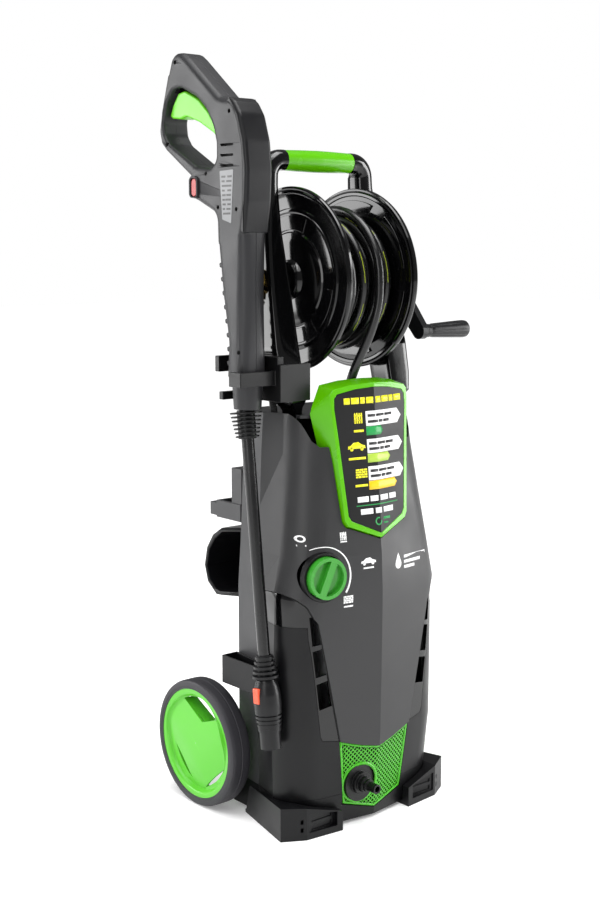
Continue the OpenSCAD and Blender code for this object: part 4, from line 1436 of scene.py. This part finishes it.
@dataclass
class Casing:
    """The housing's shells, the pod and everything printed on the front."""

    POST_FRONT = ((500, -48), (552, -48), (564, -59.5), (603, -50.5), (665, -36), (718, -24),
                  (771, -12), (824, 0), (842, 2.4))
    POST_BACK = ((500, -20), (552, -20), (564, -16), (603, -6), (665, 8), (718, 22), (771, 28),
                 (824, 34), (842, 36))
    POST_OUTER = ((500, 88), (551, 88), (563, 107), (589, 112.5), (629, 115), (730, 108),
                  (830, 97), (842, 96))
    POST_INNER = ((500, 75), (780, 75), (824, 70), (842, 68))

    def shells(self) -> None:
        """Dresses the moulded shells."""
        recess = [(69, 9), (113, 9), (113, 34), (92, 32), (69, 28)]
        feet = [([(side * x, z) for x, z in recess], 104.5, 130) for side in (-1, 1)]
        twin("foot_base", BASE, feet, Along.FRONT, 0.8)
        for node, finish, edge, angle in (
            ("base_tray", BASE, 1.0, 14), ("lower_body", LOWER, 0.9, 14),
            ("rear_housing", HOUSING, 1.4, 14), ("front_cover", COVER, 0.9, 13),
            ("vent_panel_left", GLOSS, 0.7, 14), ("vent_panel_right", GLOSS, 0.7, 14),
            ("water_inlet", BLACK, 0.5, 30), ("label_pod", GREEN, 1.6, 34),
            ("label_plate", LABEL, 0.0, 10), ("gun_holder", BLACK, 1.5, 30),
            ("cable_hook_upper", HOUSING, 2.2, 30), ("cable_hook_lower", LOWER, 2.6, 30),
            ("side_bin", LOWER, 1.0, 30), ("cable_gland", BLACK, 0.6, 30),
            ("hose_guide", BLACK, 0.5, 30), ("knob_bezel", BLACK, 0.6, 30),
            ("selector_knob", KNOB, 0.9, 30), ("body_screws", STEEL, 0.3, 30),
        ):
            soften(node, finish, edge, angle)

    def carry_frame(self) -> None:
        """Dresses the posts and the carry grip."""
        for side in (-1, 1):
            self.post(side)
        soften("handle_core", STEEL, 0.0)
        soften("handle_grip", GREEN, 0.5)

    def post(self, side: int) -> None:
        """Lofts one post from its foot round the elbow to the carry grip.

        Args:
            side: -1 for the left post and 1 for the right one.
        """
        name = "post_left" if side < 0 else "post_right"
        points: list[tuple[float, float, float]] = []
        sides = 48

        def ring(at: Vector, across: Vector, back: Vector, half: Point, power: float) -> None:
            """Adds one rounded section: a rectangle at a high power, an ellipse at 2.

            Args:
                at: The section's middle in millimetres.
                across: The way of its width.
                back: The way of its depth.
                half: Half its width and half its depth.
                power: How square its corners are.
            """
            for k in range(sides):
                a = math.tau * (k + 0.5) / sides
                c, n = math.cos(a), math.sin(a)
                u = math.copysign(abs(c) ** (2 / power), c) * half[0]
                v = math.copysign(abs(n) ** (2 / power), n) * half[1]
                p = at + across * u + back * v
                points.append((side * p.x, p.y, p.z))

        def between(table: Sequence[Point], z: float) -> float:
            """Reads a table on straight lines between its rows.

            Args:
                table: Heights and values.
                z: The height to read it at.

            Returns:
                The value.
            """
            for (z0, v0), (z1, v1) in zip(table, table[1:]):
                if z <= z1:
                    return v0 + (v1 - v0) * max(0.0, z - z0) / (z1 - z0)
            return table[-1][1]

        levels = [500 + 6 * k for k in range(57)]
        for z in levels:
            t = min(1.0, max(0.0, (z - 700) / 136))
            front, back = between(self.POST_FRONT, z), between(self.POST_BACK, z)
            outer, inner = between(self.POST_OUTER, z), between(self.POST_INNER, z)
            ring(Vector(((outer + inner) / 2, (front + back) / 2, z)), Vector((1, 0, 0)),
                 Vector((0, 1, 0)), ((outer - inner) / 2, (back - front) / 2), 7 - 4.4 * t)
        grip = box_mm("handle_grip")
        end, level = grip[1].x, (grip[0].z + grip[1].z) / 2
        for k in range(1, 15):
            turn = math.radians(90 * min(1.0, k / 13))
            t = min(1.0, k / 9)
            at = Vector((62 + 20 * math.cos(turn), 19 - 5 * t, level - 20 + 20 * math.sin(turn)))
            if k == 14:
                at.x = end - 0.5
            half = (14 - 0.6 * t, 16.8 - 3.4 * t)
            ring(at, Vector((math.cos(turn), 0, math.sin(turn))), Vector((0, 1, 0)), half,
                 2.6 - 0.5 * t)
        count = len(points) // sides
        faces = [[r * sides + k, r * sides + (k + 1) % sides, (r + 1) * sides + (k + 1) % sides,
                  (r + 1) * sides + k] for r in range(count - 1) for k in range(sides)]
        faces.append(list(range(sides)))
        faces.append([(count - 1) * sides + k for k in range(sides)])
        made = piece(f"{name}_moulding", points, faces, GLOSS, "chassis", sharp=50)
        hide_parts(name)

    def works(self) -> None:
        """Dresses the parts inside."""
        for node, finish in (
            ("motor_housing", ALLOY), ("motor_rotor", STEEL), ("motor_fan", BLACK),
            ("wobble_plate", STEEL), ("pump_body", ALLOY), ("pump_pistons", STEEL),
            ("capacitor", NYLON), ("switch_box", BLACK), ("feed_hose", HOSE), ("axle", STEEL),
            ("axle_clips", STEEL),
        ):
            soften(node, finish, 0.4)

    def recesses(self) -> None:
        """Puts a pan of painted shade behind each side panel, so that the vents look into a dark duct."""
        depth = -(box_mm("vent_panel_right")[0].y + 26)
        for side in (-1, 1):
            outline = [(side * 68, 160), (side * 112, 160), (side * 114, 300), (side * 88, 300)]
            # Each pan is a near-black sheet of painted shade where the duct behind the vents lies in shade.
            slab(f"vent_pan_{'left' if side < 0 else 'right'}", [outline], depth - 1.5, depth,
                 PAINTED_SHADE, "chassis", (0.3, 0.3), Along.FRONT)

    def label(self) -> None:
        """Prints the programme panel: generic bars and symbols, and no words."""
        film = Print("label_plate")
        letters = ((-47, 9), (-36, 12), (-22, 7), (-13, 11), (2, 10), (14, 13), (29, 8), (39, 14))
        heading = [bar(x, x + w, 559, 567) for x, w in letters]
        rows = ((530, 549), (495, 513), (460, 478))
        words = [bar(-34, -19, 523, 526), bar(-44, -18, 488, 491), bar(-36, -17, 453, 456)]
        symbols = [*fence(-26.5, 541, 13), *car(-31, 505, 27), *bricks(-25.5, 470, 18)]
        film.lay("label_yellow_print", [*heading, *words, *symbols], YELLOW_INK)
        white = [arrow(-15, 52, low, high) for low, high in rows]
        white += [bar(x, x + w, 433, 440) for x, w in ((-34, 17), (-14, 12), (2, 15), (20, 13))]
        white += [bar(x, x + w, 417, 424) for x, w in ((-30, 19), (-7, 10), (7, 19))]
        film.lay("label_white_print", white, WHITE_INK)
        lines = []
        for low, high in rows:
            for z, cuts in ((high - 7.6, (-12, 0, 1.4, 17, 18.4, 33)),
                            (low + 3.6, (-12, 5, 6.4, 14, 15.4, 27))):
                lines += [bar(a, b, z, z + 3.6) for a, b in zip(cuts[::2], cuts[1::2])]
        raised = Print("label_plate", lift=0.3)
        raised.lay("label_black_print", lines, BLACK_INK)
        for name, x, low, finish in (
            ("deep_green", 14, 518, DEEP_GREEN_INK), ("lime", 26, 483, LIME_INK),
            ("amber", 37, 448, AMBER_INK),
        ):
            film.lay(f"label_{name}_print", [arrow(-15, x, low, low + 11.4)], finish)
        rule = [bar(-36, 36, 428, 429.2), bar(6, 19, 408, 411), bar(6, 15, 402.4, 404.4)]
        ring = [(-3 + r * math.cos(a), 406.5 + r * math.sin(a))
                for r, turns in ((5.4, range(0, 15)), (3.6, range(14, -1, -1)))
                for a in [math.radians(70 + 300 * k / 14) for k in turns]]
        film.lay("label_green_print", [*rule, ring], DEEP_GREEN_INK)

    def dial(self) -> None:
        """Prints the scale round the selector and a generic mark on the right facet."""
        film = Print("front_cover")
        at = joint("knob_turn")["pos_m"]
        x, z = at[0] / MM, at[2] / MM

        def spot(radius: float, degrees: float) -> Point:
            """Returns a point round the dial, clockwise from straight up."""
            turn = math.radians(degrees)
            return (x + radius * math.sin(turn), z + radius * math.cos(turn))

        sweep = [-23 + 150 * k / 40 for k in range(41)]
        inner = [spot(37.6, a) for a in sweep]
        outer = [spot(38.5 + 1.9 * k / 40, a) for k, a in enumerate(sweep)]
        shapes: list[list[Point]] = [[*outer, *inner[::-1]]]
        zero = (x - 21, z + 49)
        ring = circle(*zero, 4.4, 24)
        hollow = circle(*zero, 2.5, 24)
        for k in range(24):
            j = (k + 1) % 24
            shapes.append([ring[k], ring[j], hollow[j], hollow[k]])
        shapes.append(bar(zero[0] - 4, zero[0] + 4, zero[1] - 9.4, zero[1] - 7.4))
        shapes += fence(x + 31, z + 49.5, 10)
        shapes.append(bar(x + 26, x + 36, z + 41.4, z + 43))
        shapes += car(x + 67, z + 13, 23)
        shapes.append(bar(x + 59, x + 75, z + 3.4, z + 5.4))
        shapes += bricks(x + 35, z - 33, 15)
        shapes.append(bar(x + 28, x + 42, z - 43, z - 41))
        film.lay("dial_white_print", shapes, WHITE_INK)
        drop = [(34.0, 359.0)] + [
            (34 + 6.2 * math.sin(a), 344 - 6.2 * math.cos(a))
            for a in [math.radians(-118 + 236 * k / 18) for k in range(19)]
        ]
        mark = [drop, bar(46, 92, 350, 354), bar(46, 80, 343, 347), bar(46, 68, 336, 340)]
        film.lay("front_mark_print", mark, WHITE_INK)

    def build(self) -> None:
        """Builds the casing."""
        self.shells()
        self.carry_frame()
        self.works()
        self.recesses()
        self.label()
        self.dial()


@dataclass
class SprayGun:
    """The gun: two rounded half shells, trigger, lock and fittings."""

    edge: float = 8.5

    BODY = (
        (-47, 596, 0), (-47, 700, 60), (-48, 775, 40), (-54, 812, 40), (-56, 850, 60),
        (-52, 885, 40), (-42, 916, 30), (-30, 932, 14), (-22, 937, 10), (-8, 937, 12),
        (2, 940, 14), (68, 992, 30), (80, 1000, 16), (94, 1001, 12), (103, 994, 12),
        (110, 975, 40), (124, 930, 40), (129, 905, 16), (125, 890, 10), (114, 880, 10),
        (62, 846, 8), (62, 820, 5), (52, 816, 8), (10, 798, 14), (10, 762, 30),
        (2, 690, 60), (-7, 640, 60), (-7, 596, 0),
    )
    LOOP = (
        (22, 855, 12), (50, 858, 30), (108, 888, 16), (118, 900, 14), (120, 916, 14),
        (113, 941, 12), (100, 956, 10), (84, 958, 20), (52, 944, 40), (30, 926, 40),
        (16, 905, 40), (10, 885, 14), (10, 864, 12),
    )
    SCREWS = ((91.5, 989), (-21, 921), (112, 888), (28, 848), (3, 806), (-34, 803))

    def round_off(self, at: Point) -> float:
        """Scales the shell's rim: full on the barrel and small on the loop.

        Args:
            at: A place on the outline, in Y and Z.

        Returns:
            The scale of the rim's radius.
        """
        y, z = at
        if z < 597:
            return 0.15
        barrel = min(1.0, max(0.0, (800 - z) / 90)) if y < 15 else 0.0
        loop = min(1.0, max(0.0, (y - 40) / 50)) * min(1.0, max(0.0, (985 - z) / 30))
        return 1.0 + 0.95 * barrel - 0.55 * loop

    def shell(self, side: int) -> None:
        """Builds one half shell and cuts its screw wells, vents and trigger slot.

        Args:
            side: -1 for the left half and 1 for the right one.
        """
        name = "gun_shell_right" if side > 0 else "gun_shell_left"
        middle = joint("lance_twist")["pos_m"][0] / MM
        near, far = (middle + 0.05, middle + 20) if side > 0 else (middle - 20, middle - 0.05)
        edges = (0.5, self.edge) if side > 0 else (self.edge, 0.5)
        made = slab(name + "_case", [rounded(self.BODY), rounded(self.LOOP)], near, far, GUN,
                    "gun", edges, Along.SIDE, self.round_off)
        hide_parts(name)
        outer = middle + side * 20
        cuts = [(circle(y, z, 2.7), outer - side * 6, outer + side * 3) for y, z in self.SCREWS]
        cuts.append((circle(-36, 628, 2.7), outer - side * 11, outer + side * 3))
        if side < 0:
            cuts.append((self.lock_window(0.4), outer - 3, outer + 14))
        for k in range(3):
            top = 883 - 12.5 * k
            slot = rounded([(-29, top - 3.4, 1.4), (-4, top - 3.4, 3), (-1.6, top, 1.2),
                            (-29, top - 0.4, 1.4)], 3)
            cuts.append((slot, outer - side * 5, outer + side * 3))
        # The screw wells, vent slots and lock window are lined with painted shade, standing in for the shade
        # inside them.
        carve(made, cuts, Along.SIDE)
        # The trigger slot is lined with painted shade.
        slot = rounded([(0, 881, 2), (12, 881, 2), (30, 921, 10), (52, 941, 14), (90, 956, 14),
                        (111, 950, 3), (110, 960, 3), (99, 966, 4), (84, 967, 10), (44, 953, 20),
                        (18, 931, 20), (2, 905, 6)], 4)
        edge_x = -150 + side * 13
        carve(made, [(slot, min(-150 - side * 2, edge_x), max(-150 - side * 2, edge_x))],
              Along.SIDE, PAINTED_SHADE)

    def lock_window(self, gap: float) -> list[Point]:
        """Draws the rounded opening that the hose release stands in.

        Args:
            gap: The room round the release, in millimetres.

        Returns:
            The outline in Y and Z.
        """
        low, high = box_mm("hose_lock")
        y0, y1, z0, z1 = low.y - gap, high.y + gap, low.z - gap, high.z + gap
        return rounded([(y0, z0, 3), (y1, z0, 3), (y1, z1, 3), (y0, z1, 3)], 4)

    def rating_plate(self, side: float) -> None:
        """Adds the pale rating plate and its rows of print.

        Args:
            side: Where the left half's outer face lies, in millimetres.
        """
        plate = rounded([(-1, 850, 1.5), (-29, 851, 1.5), (-24, 786, 1.5), (-6, 791, 1.5)], 3)
        slab("gun_rating_plate", [plate], side - 0.3, side + 1.0, PLATE, "gun", (0.2, 0.2))
        for k in range(9):
            z = 845 - 5.6 * k
            left, right = -27.5 + 0.075 * (850 - z), -3.2 - 0.07 * (850 - z)
            words = ((0.06, 0.42 + 0.1 * (k % 3)), (0.6 + 0.08 * (k % 2), 0.94))
            for part, (a, b) in enumerate(words):
                row = bar(left + (right - left) * a, left + (right - left) * b, z - 3.4, z - 1)
                slab(f"gun_plate_print_{k}{part}", [row], side - 0.45, side - 0.2, BLACK_INK,
                     "gun", (0.05, 0.05))

    def trimmings(self) -> None:
        """Adds the rating plate, the front strip in painted shade, the trigger and the lock's boss."""
        side = joint("lance_twist")["pos_m"][0] / MM - 20
        self.rating_plate(side)
        hump = rounded([(-43, 772, 2), (-48.6, 775, 2), (-54.6, 812, 40), (-56.6, 850, 60),
                        (-52.6, 885, 40), (-42.4, 916.6, 30), (-30.4, 932.6, 14),
                        (-22, 937.6, 4), (-14, 937.6, 2), (-24, 926, 14), (-34, 908, 30),
                        (-42, 880, 40), (-44.5, 850, 60), (-43, 812, 40)], 6)
        # The front strip is the gun's nylon in painted shade, darker where the front looks away from the lamps.
        slab("gun_front_painted_shade", [hump], side - 0.8, side + 40.8, SHADED_GUN_NYLON, "gun", (5.0, 5.0))
        trig = rounded([(-3, 884, 2), (12, 884, 3), (22, 897, 12), (54, 913, 30), (82, 922, 20),
                        (94, 919, 8), (112, 921, 3), (117, 924, 3), (110, 938, 6), (98, 952, 5),
                        (84, 954, 12), (54, 941, 30), (33, 924, 20), (18, 906, 20), (6, 899, 3),
                        (-3, 898, 2)], 5)
        at = box_mm("gun_trigger")
        made = slab("gun_trigger_bar", [trig, circle(2, 892, 2.6)], at[0].x + 0.1, at[1].x - 0.1,
                    TRIGGER, "trigger", (3.0, 3.0), radius_at=self.trigger_ease)
        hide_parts("gun_trigger")
        boss = rounded([(46.5, 817.5, 4), (57, 819, 4), (61, 822.5, 4), (61, 841.5, 4),
                        (57, 846, 4), (47.5, 846, 4), (43, 841.5, 4), (43, 822, 4)], 3)
        slab("gun_lock_boss", [boss, self.lock_window(0.5)], side - 3, side + 3, GUN, "gun",
             (1.2, 0.2))

    def trigger_ease(self, at: Point) -> float:
        """Keeps the pin's hole crisp while the trigger's rims stay soft."""
        return 0.1 if (Vector(at) - Vector((2, 892))).length < 4 else 1.0

    def ribs(self) -> None:
        """Adds the finger ribs up the barrel's rear edge."""
        for k in range(8):
            z = 735 - 17.4 * k
            edge = -7 + max(0.0, (z - 640) * 0.145) + max(0.0, (z - 690) * 0.02)
            outline = rounded([(edge - 6, z - 4.4, 1), (edge + 2.8, z - 3.4, 2.2),
                               (edge + 3.2, z + 2.4, 1.2), (edge - 6, z + 4.8, 1)], 3)
            slab(f"gun_rib_{k}", [outline], -164, -136, GUN, "gun", (3.0, 3.0))

    def build(self) -> None:
        """Builds the gun."""
        for side in (-1, 1):
            self.shell(side)
        self.trimmings()
        self.ribs()
        for node, finish, edge in (("hose_lock", RED, 1.2), ("gun_valve", BRASS, 0.4),
                                   ("lance_socket", GUN, 0.6), ("lance_bellows", BLACK, 0.5)):
            soften(node, finish, edge)


@dataclass
class Lance:
    """The lance tube with its nozzle, slide and turning head."""

    edges: tuple[tuple[str, Finish, float], ...] = (
        ("lance_tube", LANCE, 0.0), ("nozzle_body", GRIP, 0.7), ("nozzle_head", GRIP, 0.7),
        ("nozzle_button", ORANGE, 1.3),
    )

    def build(self) -> None:
        """Dresses the tube and the nozzle's pieces."""
        for node, finish, edge in self.edges:
            soften(node, finish, edge)


def main() -> None:
    """Builds the washer's pieces in order."""
    logging.basicConfig(level=logging.INFO, format="%(name)s %(message)s")
    studio = Studio()
    studio.camera()
    HoseRun().build()
    studio.build()
    Casing().build()
    InletGrille().build()
    Reel().build()
    for side in (-1, 1):
        Wheel(side).build()
    SprayGun().build()
    Lance().build()


if __name__ == "__main__":
    main()
